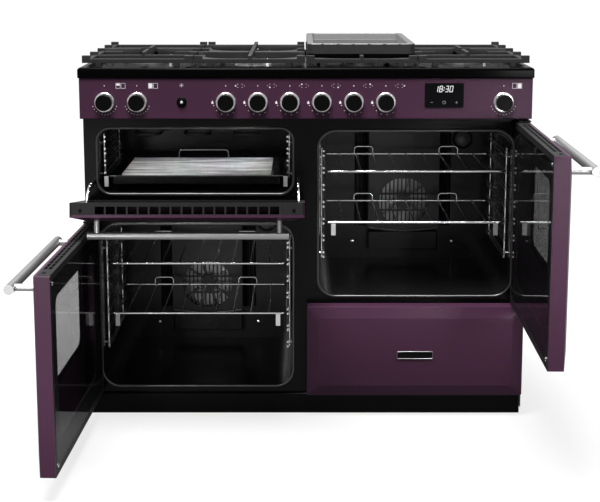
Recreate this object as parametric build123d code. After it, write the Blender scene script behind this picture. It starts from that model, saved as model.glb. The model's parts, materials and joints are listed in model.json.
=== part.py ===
from build123d import *
import os
from math import sqrt

# Range cooker: two side-hung ovens, a drop-down grill, a storage drawer and a six-burner gas hob.
# Millimetres, +Z up, +X to the right, +Y to the back. The origin is on the floor, at mid-width, on
# the plane of the carcass front. Doors are drawn shut and then turned open about their pins.

# Fits
SEAT_GAP = 0.3
PIN_CLEARANCE = 0.06
SLIP_FIT = 0.2
HOLE_CLEARANCE = 1.0
OVERCUT = 1.0

# Carcass
BODY_WIDTH = 1092.0
BODY_DEPTH = 555.0
CASING_SHEET = 1.5
CASING_LIFT = 12.0
FRAME_SHEET = 2.0
FRAME_UPSTAND = 6.0
BASE_HEIGHT = 40.0
BASE_SHEET = 2.0
DIVIDER_SHEET = 2.0
PLINTH_HEIGHT = 52.0
PLINTH_INSET = 5.0
PLINTH_FRONT = 10.0
PLINTH_THICKNESS = 16.0
PLINTH_ROUND = 3.0
FOOT_X = 480.0
FOOT_Y = (60.0, 500.0)
FOOT_RADIUS = 20.0
FOOT_PAD = 8.0
FOOT_STUD_RADIUS = 6.0

# Front layout, from the plinth upwards
FRONT_GAP = 5.0
DRAWER_HEIGHT = 229.0
OVEN_DOOR_HEIGHT = 455.0
GRILL_DOOR_HEIGHT = 229.0
LEFT_COLUMN_GAP = 20.5
PANEL_GAP = 10.0
PANEL_HEIGHT = 99.0
DOOR_SIDE_INSET = 5.0
CENTRE_GAP = 6.0

# Doors and drawer front
DOOR_STANDOFF = 5.0
DOOR_THICKNESS = 42.0
PANEL_SHEET = 1.5
BEVEL_WIDTH = 28.0
BEVEL_DEPTH = 8.0
EDGE_ROUND = 4.0
FLAT_ROUND = 14.0
LINER_DEPTH = 7.0
LINER_RIM = 14.0
GLASS = 4.0
GLASS_ROUND = 8.0
SIGHT_INSET = 62.0
SIGHT_ROUND = 24.0
VENT_DEPTH = 28.0
VENT_SHEET = 3.0
VENT_END = 46.0
VENT_PITCH = 25.0
VENT_SLOT_LENGTH = 21.0
VENT_BAR = 3.5
WINDOW_WIDTH = 400.0
WINDOW_HEIGHT = 226.0
WINDOW_TOP = 64.0
WINDOW_LAP = 12.0

# Hinges
PIN_RADIUS = 4.0
PIN_REACH = 13.0
HINGE_INSET = 10.0
HINGE_BLOCK = 17.0
HINGE_BLOCK_HEIGHT = 16.0
BRACKET_SHEET = 3.0
BRACKET_WIDTH = 30.0
BRACKET_GAP = 1.0
BRACKET_REACH = 40.0
LEFT_DOOR_OPEN = 92.0
RIGHT_DOOR_OPEN = 89.0
GRILL_DOOR_OPEN = 80.5
GRILL_PIN_BACK = 15.0
GRILL_PIN_RISE = 9.0
GRILL_EAR_SHEET = 2.0
GRILL_EAR_HEIGHT = 16.0
STAY_RADIUS = 66.0
STAY_WIDTH = 8.0
STAY_SHEET = 3.0
STAY_INSET = 14.0
STAY_TAIL = 44.0

# Handles
OVEN_HANDLE_RADIUS = 11.0
OVEN_HANDLE_STANDOFF = 54.0
OVEN_HANDLE_DROP = 40.0
HANDLE_LENGTH = 465.0
HANDLE_POST_SPAN = 421.0
OVEN_POST_RADIUS = 8.0
GRILL_HANDLE_RADIUS = 9.0
GRILL_HANDLE_STANDOFF = 35.0
GRILL_HANDLE_DROP = 33.0
GRILL_POST_RADIUS = 6.5

# Cavities
CAVITY_WIDTH = 476.0
CAVITY_DEPTH = 400.0
CAVITY_SHEET = 1.5
OVEN_HEIGHT = 412.0
OVEN_SILL = 15.0
OVEN_ROUND = 42.0
GRILL_HEIGHT = 158.0
GRILL_SILL = 49.0
GRILL_ROUND = 30.0
SEAL_GAP = 2.0
SEAL_WIDTH = 8.0
SEAL_DEPTH = 4.5

# Shelf ladders, racks and grill pan
LADDER_WIRE = 2.5
LADDER_STANDOFF = 6.0
LADDER_FRONT = 30.0
LADDER_LENGTH = 310.0
LADDER_POST = 3.0
LADDER_POST_END = 2.0
LADDER_POST_INSET = 24.0
LEVEL_COUNT = 7
LEVEL_START = 90.0
LEVEL_PITCH = 43.0
LEVEL_GAP = 11.6
GRILL_LEVEL_COUNT = 4
GRILL_LEVEL_START = 34.0
GRILL_LEVEL_PITCH = 30.0
RACK_BAR = 3.0
RACK_WIRE = 2.0
RACK_CORNER = 14.0
RACK_FRONT = 14.0
RACK_DEPTH = 290.0
RACK_WIRE_COUNT = 9
RACK_LOOP_HEIGHT = 20.0
RACK_LOOP_WIDTH = 50.0
RACK_LOOP_INSET = 85.0
RACK_LOOP_ROUND = 9.0
LOWER_RACK_LEVEL = 2
UPPER_RACK_LEVEL = 5
TAB_WIDTH = 11.0
TAB_HEIGHT = 33.0
TAB_SHEET = 2.0
TAB_INSET = 22.0
PAN_SHEET = 2.0
PAN_RIM = 3.0
PAN_RIM_WIDTH = 10.0
PAN_DEPTH = 18.0
PAN_LENGTH = 286.0
PAN_ROUND = 16.0
TRIVET_MARGIN = 42.0
TRIVET_BAR = 3.0
TRIVET_CROSS = 2.4
TRIVET_CROSS_DROP = 3.4
TRIVET_CROSS_INSET = 12.0
TRIVET_LEG = 1.8
TRIVET_BAR_COUNT = 14
TRIVET_RISE = 20.0

# Grill element
ELEMENT_RADIUS = 4.0
ELEMENT_DROP = 20.0
ELEMENT_PASSES = 6
ELEMENT_PITCH = 62.0
ELEMENT_FRONT = 60.0
ELEMENT_BACK = 320.0
ELEMENT_BEND = 20.0
HANGER_INSET = 60.0
HANGER_SHEET = 2.0

# Fans
FAN_COVER_WIDTH = 194.0
FAN_COVER_HEIGHT = 300.0
FAN_COVER_SILL = 90.0
FAN_COVER_DEPTH = 48.0
FAN_COVER_SHEET = 1.5
FAN_AXIS_HEIGHT = 168.0
FAN_GRILLE_RADIUS = 68.0
FAN_GRILLE_CENTRE = 20.0
FAN_SLOT_WIDTH = 7.0
FAN_SLOT_PITCH = 11.0
FAN_SLOT_COLUMNS = 13
FAN_SLOT_ROWS = 3
FAN_BRIDGE = 6.0
FAN_RADIUS = 74.0
FAN_HUB_RADIUS = 18.0
FAN_BLADE_COUNT = 10
FAN_BLADE_WIDTH = 22.0
FAN_SHEET = 1.5
FAN_BACK_GAP = 9.0
FAN_SHAFT_RADIUS = 4.0
FAN_SHAFT_LENGTH = 42.0
MOTOR_RADIUS = 36.0
MOTOR_LENGTH = 45.0

# Control panel
PANEL_ROUND = 2.0
KNOB_HEIGHT = 41.0
BURNER_KNOB_X = (-192.5, -115.5, -38.5, 38.5, 115.5, 192.5)
GRILL_KNOB_X = -484.5
LEFT_OVEN_KNOB_X = -406.4
RIGHT_OVEN_KNOB_X = 476.0
KNOB_GAP = 0.5
KNOB_SKIRT_RADIUS = 24.0
KNOB_SKIRT = 7.0
KNOB_CAP_RADIUS = 19.5
KNOB_CAP = 17.0
KNOB_ROUND = 2.0
SPINDLE_RADIUS = 4.0
SPINDLE_REACH = 24.0
TAP_WIDTH = 26.0
TAP_HEIGHT = 32.0
TAP_LENGTH = 54.0
TAP_NECK_RADIUS = 9.0
TAP_NECK = 4.0
SWITCH_SIZE = 40.0
SWITCH_LENGTH = 36.0
MANIFOLD_SIZE = 18.0
MANIFOLD_OVERRUN = 24.0
SUPPLY_RADIUS = 8.0
INLET_RADIUS = 10.5
INLET_X = 200.0
INLET_REACH = 22.0
BUTTON_X = -299.0
BUTTON_RADIUS = 8.5
BUTTON_PROUD = 4.5
BUTTON_LENGTH = 15.0
BUTTON_TRAVEL = 3.0
BUTTON_SWITCH = 26.0
BUTTON_SWITCH_LENGTH = 18.0
DISPLAY_X = 333.0
DISPLAY_WIDTH = 94.0
DISPLAY_HEIGHT = 59.0
DISPLAY_RAISE = 28.0
DISPLAY_PROUD = 1.5
DISPLAY_LIP = 3.0
DISPLAY_DEPTH = 22.0
GLAND_X = -300.0
GLAND_Z = 120.0
GLAND_RADIUS = 18.0
GLAND_BORE = 12.5
GLAND_LENGTH = 22.0

# Hob
TRIM_OVERHANG = 3.0
TRIM_HEIGHT = 25.0
TRIM_SIDE = 16.0
TRIM_FRONT = 40.0
TRIM_BACK = 30.0
TRIM_ROUND = 7.0
PLATE_RISE = 11.0
PLATE_SHEET = 2.0
SUPPORT_RISE = 25.0
SUPPORT_WIDTH = 270.0
SUPPORT_DEPTH = 500.0
SUPPORT_PITCH = 273.5
SUPPORT_FRONT = 2.0
SUPPORT_BAR = 13.0
SUPPORT_BAR_HEIGHT = 10.0
SUPPORT_BAR_DROP = 8.0
SUPPORT_BARS = 5
SUPPORT_BLOCK = 20.0
SUPPORT_FOOT = 14.0
SUPPORT_FOOT_INSET = 40.0
EYE_ROUND = 70.0
FINGER_WIDTH = 9.0
FINGER_LENGTH = 74.0
BIG_BURNER_RADIUS = 60.0
SMALL_BURNER_RADIUS = 42.0
BURNER_STEP = 6.0
BURNER_SKIRT = 5.0
BURNER_CROWN = 6.0
BURNER_CAP = 5.0
BURNER_CAP_ROUND = 2.0
BURNER_STEM_RADIUS = 26.0
BURNER_STEM = 24.0
BURNER_EYE_CLEARANCE = 8.0
GRIDDLE_WIDTH = 266.0
GRIDDLE_DEPTH = 430.0
GRIDDLE_HEIGHT = 26.0
GRIDDLE_FLOOR = 8.0
GRIDDLE_WALL = 16.0
GRIDDLE_ROUND = 18.0

# Drawer
DRAWER_INSET = 17.0
DRAWER_BOX_HEIGHT = 164.0
DRAWER_BOX_DEPTH = 400.0
DRAWER_BOX_LIFT = 9.0
DRAWER_SHEET = 2.0
DRAWER_OPENING_INSET = 9.0
DRAWER_OPENING_EDGE = 5.0
RUNNER_LENGTH = 380.0
RUNNER_RISE = 138.0
RUNNER_SHEET = 4.0
RUNNER_LAP = 4.0
RUNNER_FLANGE = 6.0
RUNNER_FRONT = 6.0

# Levels and planes that follow from the sizes above
HALF_WIDTH = BODY_WIDTH / 2
INNER_HALF = HALF_WIDTH - CASING_SHEET
LOWER_Z = PLINTH_HEIGHT + FRONT_GAP
DRAWER_TOP = LOWER_Z + DRAWER_HEIGHT
RIGHT_DOOR_Z = DRAWER_TOP + FRONT_GAP
DOORS_TOP = RIGHT_DOOR_Z + OVEN_DOOR_HEIGHT
GRILL_DOOR_Z = DOORS_TOP - GRILL_DOOR_HEIGHT
LEFT_DOOR_TOP = GRILL_DOOR_Z - LEFT_COLUMN_GAP
PANEL_Z = DOORS_TOP + PANEL_GAP
HOB_Z = PANEL_Z + PANEL_HEIGHT
FRAME_TOP = PANEL_Z + FRAME_UPSTAND
BASE_TOP = BASE_HEIGHT + BASE_SHEET
BACK_Y = BODY_DEPTH - CASING_SHEET
DOOR_NEAR = CENTRE_GAP / 2
DOOR_FAR = HALF_WIDTH - DOOR_SIDE_INSET
DOOR_CENTRE = (DOOR_NEAR + DOOR_FAR) / 2
INNER_Y = -DOOR_STANDOFF
FACE_Y = INNER_Y - DOOR_THICKNESS
LINER_Y = INNER_Y - LINER_DEPTH
VENT_Y = INNER_Y - VENT_DEPTH
HINGE_X = DOOR_FAR - HINGE_INSET
HINGE_Y = INNER_Y - DOOR_THICKNESS / 2
GRILL_PIN_Y = FACE_Y + GRILL_PIN_BACK
GRILL_PIN_Z = GRILL_DOOR_Z + GRILL_PIN_RISE
LEFT_OVEN_Z = LOWER_Z + OVEN_SILL
RIGHT_OVEN_Z = RIGHT_DOOR_Z + OVEN_SILL
GRILL_Z = GRILL_DOOR_Z + GRILL_SILL
CAVITY_BACK = FRAME_SHEET + CAVITY_DEPTH
CAVITY_INNER_BACK = CAVITY_BACK - CAVITY_SHEET
KNOB_Z = PANEL_Z + KNOB_HEIGHT
PANEL_BACK = FACE_Y + PANEL_SHEET
TRIM_TOP = HOB_Z + TRIM_HEIGHT
PLATE_Z = HOB_Z + PLATE_RISE
PLATE_TOP = PLATE_Z + PLATE_SHEET
SUPPORT_TOP = TRIM_TOP + SUPPORT_RISE
SUPPORT_BAR_TOP = SUPPORT_TOP - SUPPORT_BAR_DROP
SUPPORT_BAR_Z = SUPPORT_BAR_TOP - SUPPORT_BAR_HEIGHT
SUPPORT_MID_Y = SUPPORT_FRONT + SUPPORT_DEPTH / 2
LADDER_WIRE_X = LADDER_STANDOFF + 2 * LADDER_WIRE
RACK_SIDE = LADDER_WIRE_X + LADDER_WIRE
FAN_COVER_Y = CAVITY_INNER_BACK - FAN_COVER_DEPTH
FAN_DISC_Y = CAVITY_INNER_BACK - FAN_BACK_GAP
ALL_KNOB_X = (GRILL_KNOB_X, LEFT_OVEN_KNOB_X, *BURNER_KNOB_X, RIGHT_OVEN_KNOB_X)
SWITCH_X = (GRILL_KNOB_X, LEFT_OVEN_KNOB_X, RIGHT_OVEN_KNOB_X)
OVENS = ((-DOOR_CENTRE, LEFT_OVEN_Z), (DOOR_CENTRE, RIGHT_OVEN_Z))
CAVITIES = (
    ("left_oven_cavity", -DOOR_CENTRE, LEFT_OVEN_Z, OVEN_HEIGHT, OVEN_ROUND),
    ("right_oven_cavity", DOOR_CENTRE, RIGHT_OVEN_Z, OVEN_HEIGHT, OVEN_ROUND),
    ("grill_cavity", -DOOR_CENTRE, GRILL_Z, GRILL_HEIGHT, GRILL_ROUND),
)
SUPPORT_X = tuple((i - 1.5) * SUPPORT_PITCH for i in range(4))
FRONT_BURNER_Y = SUPPORT_FRONT + SUPPORT_DEPTH / 4
REAR_BURNER_Y = SUPPORT_FRONT + SUPPORT_DEPTH * 3 / 4
BURNERS = (
    (SUPPORT_X[0], SUPPORT_MID_Y, BIG_BURNER_RADIUS),
    (SUPPORT_X[1], FRONT_BURNER_Y, SMALL_BURNER_RADIUS),
    (SUPPORT_X[1], REAR_BURNER_Y, SMALL_BURNER_RADIUS),
    (SUPPORT_X[2], FRONT_BURNER_Y, SMALL_BURNER_RADIUS),
    (SUPPORT_X[2], REAR_BURNER_Y, SMALL_BURNER_RADIUS),
    (SUPPORT_X[3], SUPPORT_MID_Y, BIG_BURNER_RADIUS),
)
LEFT_HINGE = Axis((-HINGE_X, HINGE_Y, 0), (0, 0, 1))
RIGHT_HINGE = Axis((HINGE_X, HINGE_Y, 0), (0, 0, 1))
GRILL_HINGE = Axis((0, GRILL_PIN_Y, GRILL_PIN_Z), (1, 0, 0))


def block(x0, x1, y0, y1, z0, z1):
    """A box between two corners."""
    centre = Pos((x0 + x1) / 2, (y0 + y1) / 2, (z0 + z1) / 2)
    return centre * Box(x1 - x0, y1 - y0, z1 - z0)


def rod_x(x0, x1, y, z, radius):
    """A round bar along X."""
    return Pos((x0 + x1) / 2, y, z) * Rot(0, 90, 0) * Cylinder(radius, x1 - x0)


def rod_y(x, y0, y1, z, radius):
    """A round bar along Y."""
    return Pos(x, (y0 + y1) / 2, z) * Rot(90, 0, 0) * Cylinder(radius, y1 - y0)


def rod_z(x, y, z0, z1, radius):
    """A round bar along Z."""
    return Pos(x, y, (z0 + z1) / 2) * Cylinder(radius, z1 - z0)


def front_outline(x0, x1, z0, z1, corner, y):
    """A rounded rectangle seen from the front, on the plane at depth y."""
    plane = Plane(origin=((x0 + x1) / 2, y, (z0 + z1) / 2), x_dir=(1, 0, 0), z_dir=(0, -1, 0))
    return plane * RectangleRounded(x1 - x0, z1 - z0, corner)


def front_prism(x0, x1, z0, z1, corner, y0, y1):
    """A rounded rectangle carried from y0 back to y1."""
    return extrude(front_outline(x0, x1, z0, z1, corner, y1), amount=y1 - y0)


def save(name, *pieces):
    """Writes one node, with each piece as its own solid."""
    solids = [solid for piece in pieces for solid in piece.solids()]
    node = solids[0] if len(solids) == 1 else Compound(children=solids)
    export_step(node, f"parts/{name}.step")


def bevelled_front(x0, x1, z0, z1, inset, back):
    """A front with a wide bevel round its flat face, drawn in by inset on the face and sides."""
    bevel_y = FACE_Y + BEVEL_DEPTH + inset
    edge = (x0 + inset, x1 - inset, z0 + inset, z1 - inset)
    flat = (x0 + BEVEL_WIDTH, x1 - BEVEL_WIDTH, z0 + BEVEL_WIDTH, z1 - BEVEL_WIDTH)
    sides = front_prism(*edge, EDGE_ROUND, bevel_y, back)
    rim = front_outline(*edge, EDGE_ROUND, bevel_y)
    face = front_outline(*flat, FLAT_ROUND, FACE_Y + inset)
    return sides + loft([rim, face], ruled=True)


def pressed_front(x0, x1, z0, z1):
    """A pressed sheet front, open at the back."""
    outer = bevelled_front(x0, x1, z0, z1, 0, INNER_Y)
    return outer - bevelled_front(x0, x1, z0, z1, PANEL_SHEET, INNER_Y + OVERCUT)


def door_window(x0, x1, z1, lap):
    """The sight window's sides, widened by lap."""
    middle = (x0 + x1) / 2
    half = WINDOW_WIDTH / 2 + lap
    top = z1 - WINDOW_TOP
    return (middle - half, middle + half, top - WINDOW_HEIGHT - lap, top + lap)


def door_panel(x0, x1, z0, z1):
    """The pressed front of a door, with its top return cut back for the vent."""
    corner_z = z1 - PANEL_SHEET - EDGE_ROUND
    vent_gap = block(
        x0 + PANEL_SHEET, x1 - PANEL_SHEET, VENT_Y, INNER_Y + OVERCUT, corner_z, z1 + OVERCUT
    )
    return pressed_front(x0, x1, z0, z1) - vent_gap


def vent_slots(x0, x1, z1, rows):
    """Rows of slots through the vent strip on top of a door."""
    run = x1 - x0 - 2 * VENT_END
    count = int(run / VENT_PITCH)
    start = (x0 + x1) / 2 - (count - 1) * VENT_PITCH / 2
    row_pitch = (LINER_Y - VENT_Y) / rows
    return [
        Pos(start + i * VENT_PITCH, VENT_Y + (row + 0.5) * row_pitch, z1)
        * Box(VENT_SLOT_LENGTH, row_pitch - VENT_BAR, 3 * VENT_SHEET)
        for i in range(count)
        for row in range(rows)
    ]


def liner_edges(x0, x1, z0, z1, inset):
    """The liner's sides, drawn in by inset from the inside of the pressed front."""
    step = PANEL_SHEET + SLIP_FIT + inset
    return (x0 + step, x1 - step, z0 + step, z1 - inset)


def door_liner(x0, x1, z0, z1, vent_rows):
    """The inner tray of a door: rim and pocket for the glass, sight hole and vent strip."""
    edges = liner_edges(x0, x1, z0, z1, 0)
    tray = front_prism(*edges, EDGE_ROUND, LINER_Y, INNER_Y)
    pocket = liner_edges(x0, x1, z0, z1, LINER_RIM)
    tray -= front_prism(*pocket, GLASS_ROUND, INNER_Y - GLASS, INNER_Y + OVERCUT)
    sight = liner_edges(x0, x1, z0, z1, SIGHT_INSET)
    tray -= front_prism(*sight, SIGHT_ROUND, LINER_Y - OVERCUT, INNER_Y)
    strip = front_prism(*edges, EDGE_ROUND, VENT_Y + SLIP_FIT, LINER_Y)
    strip -= block(x0, x1, FACE_Y, LINER_Y, z0, z1 - VENT_SHEET)
    return tray + strip - vent_slots(x0, x1, z1, vent_rows)


def inner_glass(x0, x1, z0, z1):
    """The black-edged pane that closes the door's pocket."""
    pane = liner_edges(x0, x1, z0, z1, LINER_RIM + SLIP_FIT)
    return front_prism(*pane, GLASS_ROUND, INNER_Y - GLASS, INNER_Y)


def bar_handle(x0, x1, z, radius, standoff, post_radius):
    """A round bar on two posts, on the outer face of a shut door."""
    middle = (x0 + x1) / 2
    y = FACE_Y - standoff
    bar = rod_x(middle - HANDLE_LENGTH / 2, middle + HANDLE_LENGTH / 2, y, z, radius)
    posts = [
        rod_y(middle + side * HANDLE_POST_SPAN / 2, y, FACE_Y, z, post_radius) - bar for side in (-1, 1)
    ]
    return [bar, *posts]


def hinge_blocks(side, z0, z1):
    """The two blocks in a side-hung door that run on the pins."""
    x = side * HINGE_X
    half = HINGE_BLOCK / 2
    front = VENT_Y + SLIP_FIT
    low = z0 + PANEL_SHEET + EDGE_ROUND
    return [
        block(x - half, x + half, front, LINER_Y, z, z + HINGE_BLOCK_HEIGHT)
        for z in (low, z1 - HINGE_BLOCK_HEIGHT)
    ]


def side_door(name, side, z0, z1, hinge, angle):
    """A side-hung oven door, hinged at its outer edge."""
    x0, x1 = sorted((side * DOOR_NEAR, side * DOOR_FAR))
    x = side * HINGE_X
    window = door_window(x0, x1, z1, 0)
    panel = door_panel(x0, x1, z0, z1)
    panel -= front_prism(*window, SIGHT_ROUND, FACE_Y - OVERCUT, PANEL_BACK + OVERCUT)
    panel -= rod_z(x, HINGE_Y, z0 - OVERCUT, z0 + 2 * PANEL_SHEET, PIN_RADIUS + HOLE_CLEARANCE)
    bore = rod_z(x, HINGE_Y, z0 - OVERCUT, z1 + OVERCUT, PIN_RADIUS + PIN_CLEARANCE)
    liner = door_liner(x0, x1, z0, z1, 2) + hinge_blocks(side, z0, z1) - bore
    lapped = door_window(x0, x1, z1, WINDOW_LAP)
    panes = [
        front_prism(*lapped, SIGHT_ROUND, PANEL_BACK, PANEL_BACK + GLASS),
        inner_glass(x0, x1, z0, z1),
    ]
    handle = bar_handle(
        x0, x1, z1 - OVEN_HANDLE_DROP, OVEN_HANDLE_RADIUS, OVEN_HANDLE_STANDOFF, OVEN_POST_RADIUS
    )
    save(f"{name}_panel", panel.rotate(hinge, angle))
    save(f"{name}_liner", liner.rotate(hinge, angle))
    save(f"{name}_glass", *(pane.rotate(hinge, angle) for pane in panes))
    save(f"{name}_handle", *(piece.rotate(hinge, angle) for piece in handle))


def stay_arc(x):
    """A curved stay, concentric with the grill hinge, from inside the liner to its tail in the carcass."""
    start = -STAY_TAIL
    reach = INNER_Y - LINER_DEPTH / 2 - GRILL_PIN_Y
    sweep = STAY_TAIL + Vector(reach, sqrt(STAY_RADIUS**2 - reach**2), 0).get_angle(Vector(1, 0, 0))
    outer = CenterArc((0, 0), STAY_RADIUS + STAY_WIDTH / 2, start, sweep)
    inner = CenterArc((0, 0), STAY_RADIUS - STAY_WIDTH / 2, start, sweep)
    ends = [Line(outer @ 0, inner @ 0), Line(outer @ 1, inner @ 1)]
    plane = Plane(origin=(x - STAY_SHEET / 2, GRILL_PIN_Y, GRILL_PIN_Z), x_dir=(0, 1, 0), z_dir=(1, 0, 0))
    return extrude(plane * make_face([outer, inner, *ends]), amount=STAY_SHEET)


def stay_places():
    """Where the two stays stand across the grill door."""
    return (-DOOR_FAR + STAY_INSET, -DOOR_NEAR - STAY_INSET)


def grill_door():
    """The drop-down grill door, hinged along its lower edge."""
    x0, x1 = -DOOR_FAR, -DOOR_NEAR
    z0, z1 = GRILL_DOOR_Z, DOORS_TOP
    hole = rod_x(x0 - OVERCUT, x1 + OVERCUT, GRILL_PIN_Y, GRILL_PIN_Z, PIN_RADIUS + HOLE_CLEARANCE)
    panel = door_panel(x0, x1, z0, z1) - hole
    half = PIN_RADIUS + HOLE_CLEARANCE
    low = z0 + PANEL_SHEET + SLIP_FIT
    corner = PANEL_SHEET + EDGE_ROUND
    blocks = [
        block(x, x + HINGE_BLOCK, GRILL_PIN_Y - half, LINER_Y, low, low + HINGE_BLOCK_HEIGHT)
        for x in (x0 + corner, x1 - corner - HINGE_BLOCK)
    ]
    bore = rod_x(x0 - OVERCUT, x1 + OVERCUT, GRILL_PIN_Y, GRILL_PIN_Z, PIN_RADIUS + PIN_CLEARANCE)
    liner = door_liner(x0, x1, z0, z1, 1) + blocks - bore
    liner += [stay_arc(x) for x in stay_places()]
    handle = bar_handle(
        x0, x1, z1 - GRILL_HANDLE_DROP, GRILL_HANDLE_RADIUS, GRILL_HANDLE_STANDOFF, GRILL_POST_RADIUS
    )
    inner = (liner, inner_glass(x0, x1, z0, z1))
    save("grill_door_panel", panel.rotate(GRILL_HINGE, GRILL_DOOR_OPEN))
    save("grill_door_liner", *(piece.rotate(GRILL_HINGE, GRILL_DOOR_OPEN) for piece in inner))
    save("grill_door_handle", *(piece.rotate(GRILL_HINGE, GRILL_DOOR_OPEN) for piece in handle))


def hinge_brackets():
    """Fixed brackets with welded pins for the three doors."""
    brackets = []
    for side, z0, z1 in ((-1, LOWER_Z, LEFT_DOOR_TOP), (1, RIGHT_DOOR_Z, DOORS_TOP)):
        x = side * HINGE_X
        a, b = sorted((side * HALF_WIDTH, side * (HALF_WIDTH - BRACKET_WIDTH)))
        low = z0 - BRACKET_GAP
        high = z1 + BRACKET_GAP
        lower = block(a, b, -BRACKET_REACH, 0, low - BRACKET_SHEET, low)
        upper = block(a, b, -BRACKET_REACH, 0, high, high + BRACKET_SHEET)
        brackets.append(lower + rod_z(x, HINGE_Y, low - BRACKET_SHEET, low + PIN_REACH, PIN_RADIUS))
        brackets.append(upper + rod_z(x, HINGE_Y, high - PIN_REACH, high + BRACKET_SHEET, PIN_RADIUS))
    half = GRILL_EAR_HEIGHT / 2
    for x, inward in ((-DOOR_FAR - BRACKET_GAP, 1), (-DOOR_NEAR + BRACKET_GAP, -1)):
        a, b = sorted((x, x - inward * GRILL_EAR_SHEET))
        ear = block(a, b, GRILL_PIN_Y - half, 0, GRILL_PIN_Z - half, GRILL_PIN_Z + half)
        a, b = sorted((x - inward * GRILL_EAR_SHEET, x + inward * PIN_REACH))
        brackets.append(ear + rod_x(a, b, GRILL_PIN_Y, GRILL_PIN_Z, PIN_RADIUS))
    save("hinge_brackets", *brackets)


def cavity_sides(centre, z, height, inset):
    """A cavity's sides, drawn in by inset."""
    half = CAVITY_WIDTH / 2 - inset
    return (centre - half, centre + half, z + inset, z + height - inset)


def cavities():
    """Three rounded tunnels with back walls, and the seals round their mouths."""
    seals = []
    for name, centre, z, height, corner in CAVITIES:
        outer = cavity_sides(centre, z, height, -CAVITY_SHEET)
        inner = cavity_sides(centre, z, height, 0)
        tunnel = front_prism(*outer, corner + CAVITY_SHEET, FRAME_SHEET, CAVITY_BACK)
        tunnel -= front_prism(*inner, corner, FRAME_SHEET - OVERCUT, CAVITY_INNER_BACK)
        if height == OVEN_HEIGHT:
            axis_z = z + FAN_AXIS_HEIGHT
            hole = FAN_SHAFT_RADIUS + HOLE_CLEARANCE
            tunnel -= rod_y(centre, CAVITY_INNER_BACK - OVERCUT, CAVITY_BACK + OVERCUT, axis_z, hole)
        save(name, tunnel)
        ring = [cavity_sides(centre, z, height, -SEAL_GAP - width) for width in (SEAL_WIDTH, 0)]
        seal = front_prism(*ring[0], corner + SEAL_GAP + SEAL_WIDTH, -SEAL_DEPTH, 0)
        seals.append(seal - front_prism(*ring[1], corner + SEAL_GAP, -SEAL_DEPTH - OVERCUT, OVERCUT))
    save("cavity_seals", *seals)


def front_frame():
    """The carcass front: posts, rails and corner pieces round the cavity mouths and the drawer opening."""

    def sheet(x0, x1, z0, z1):
        return block(x0, x1, 0, FRAME_SHEET, z0, z1)

    drawer_x0, drawer_x1 = DOOR_NEAR + DRAWER_OPENING_INSET, DOOR_FAR - DRAWER_OPENING_INSET
    drawer_z0, drawer_z1 = LOWER_Z + DRAWER_OPENING_EDGE, DRAWER_TOP - DRAWER_OPENING_EDGE
    bars = [
        sheet(0, INNER_HALF, PLINTH_HEIGHT, drawer_z0),
        sheet(0, drawer_x0, drawer_z0, drawer_z1),
        sheet(drawer_x1, INNER_HALF, drawer_z0, drawer_z1),
    ]
    for left, right, foot in ((-INNER_HALF, 0, PLINTH_HEIGHT), (0, INNER_HALF, drawer_z1)):
        rail_z = foot
        for _, centre, z, height, corner in CAVITIES:
            if left < centre < right:
                sides = cavity_sides(centre, z, height, 0)
                mouth_x0, mouth_x1, mouth_z0, mouth_z1 = sides
                mouth = front_prism(*sides, corner, -OVERCUT, FRAME_SHEET + OVERCUT)
                squares = [
                    sheet(x, x + corner, base, base + corner)
                    for x in (mouth_x0, mouth_x1 - corner)
                    for base in (mouth_z0, mouth_z1 - corner)
                ]
                bars += [square - mouth for square in squares]
                bars.append(sheet(mouth_x0, mouth_x1, rail_z, mouth_z0))
                rail_z = mouth_z1
        bars.append(sheet(mouth_x0, mouth_x1, rail_z, FRAME_TOP))
        bars += [sheet(left, mouth_x0, foot, FRAME_TOP), sheet(mouth_x1, right, foot, FRAME_TOP)]

    near = -GRILL_PIN_Y
    inner_cross = sqrt((STAY_RADIUS - STAY_WIDTH / 2) ** 2 - (near + FRAME_SHEET) ** 2)
    outer_cross = sqrt((STAY_RADIUS + STAY_WIDTH / 2) ** 2 - near**2)
    half = STAY_SHEET / 2 + HOLE_CLEARANCE
    low = GRILL_PIN_Z + inner_cross - HOLE_CLEARANCE
    high = GRILL_PIN_Z + outer_cross + HOLE_CLEARANCE
    slots = [block(x - half, x + half, -OVERCUT, FRAME_SHEET + OVERCUT, low, high) for x in stay_places()]
    save("front_frame", *(bar - slots for bar in bars))


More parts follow.
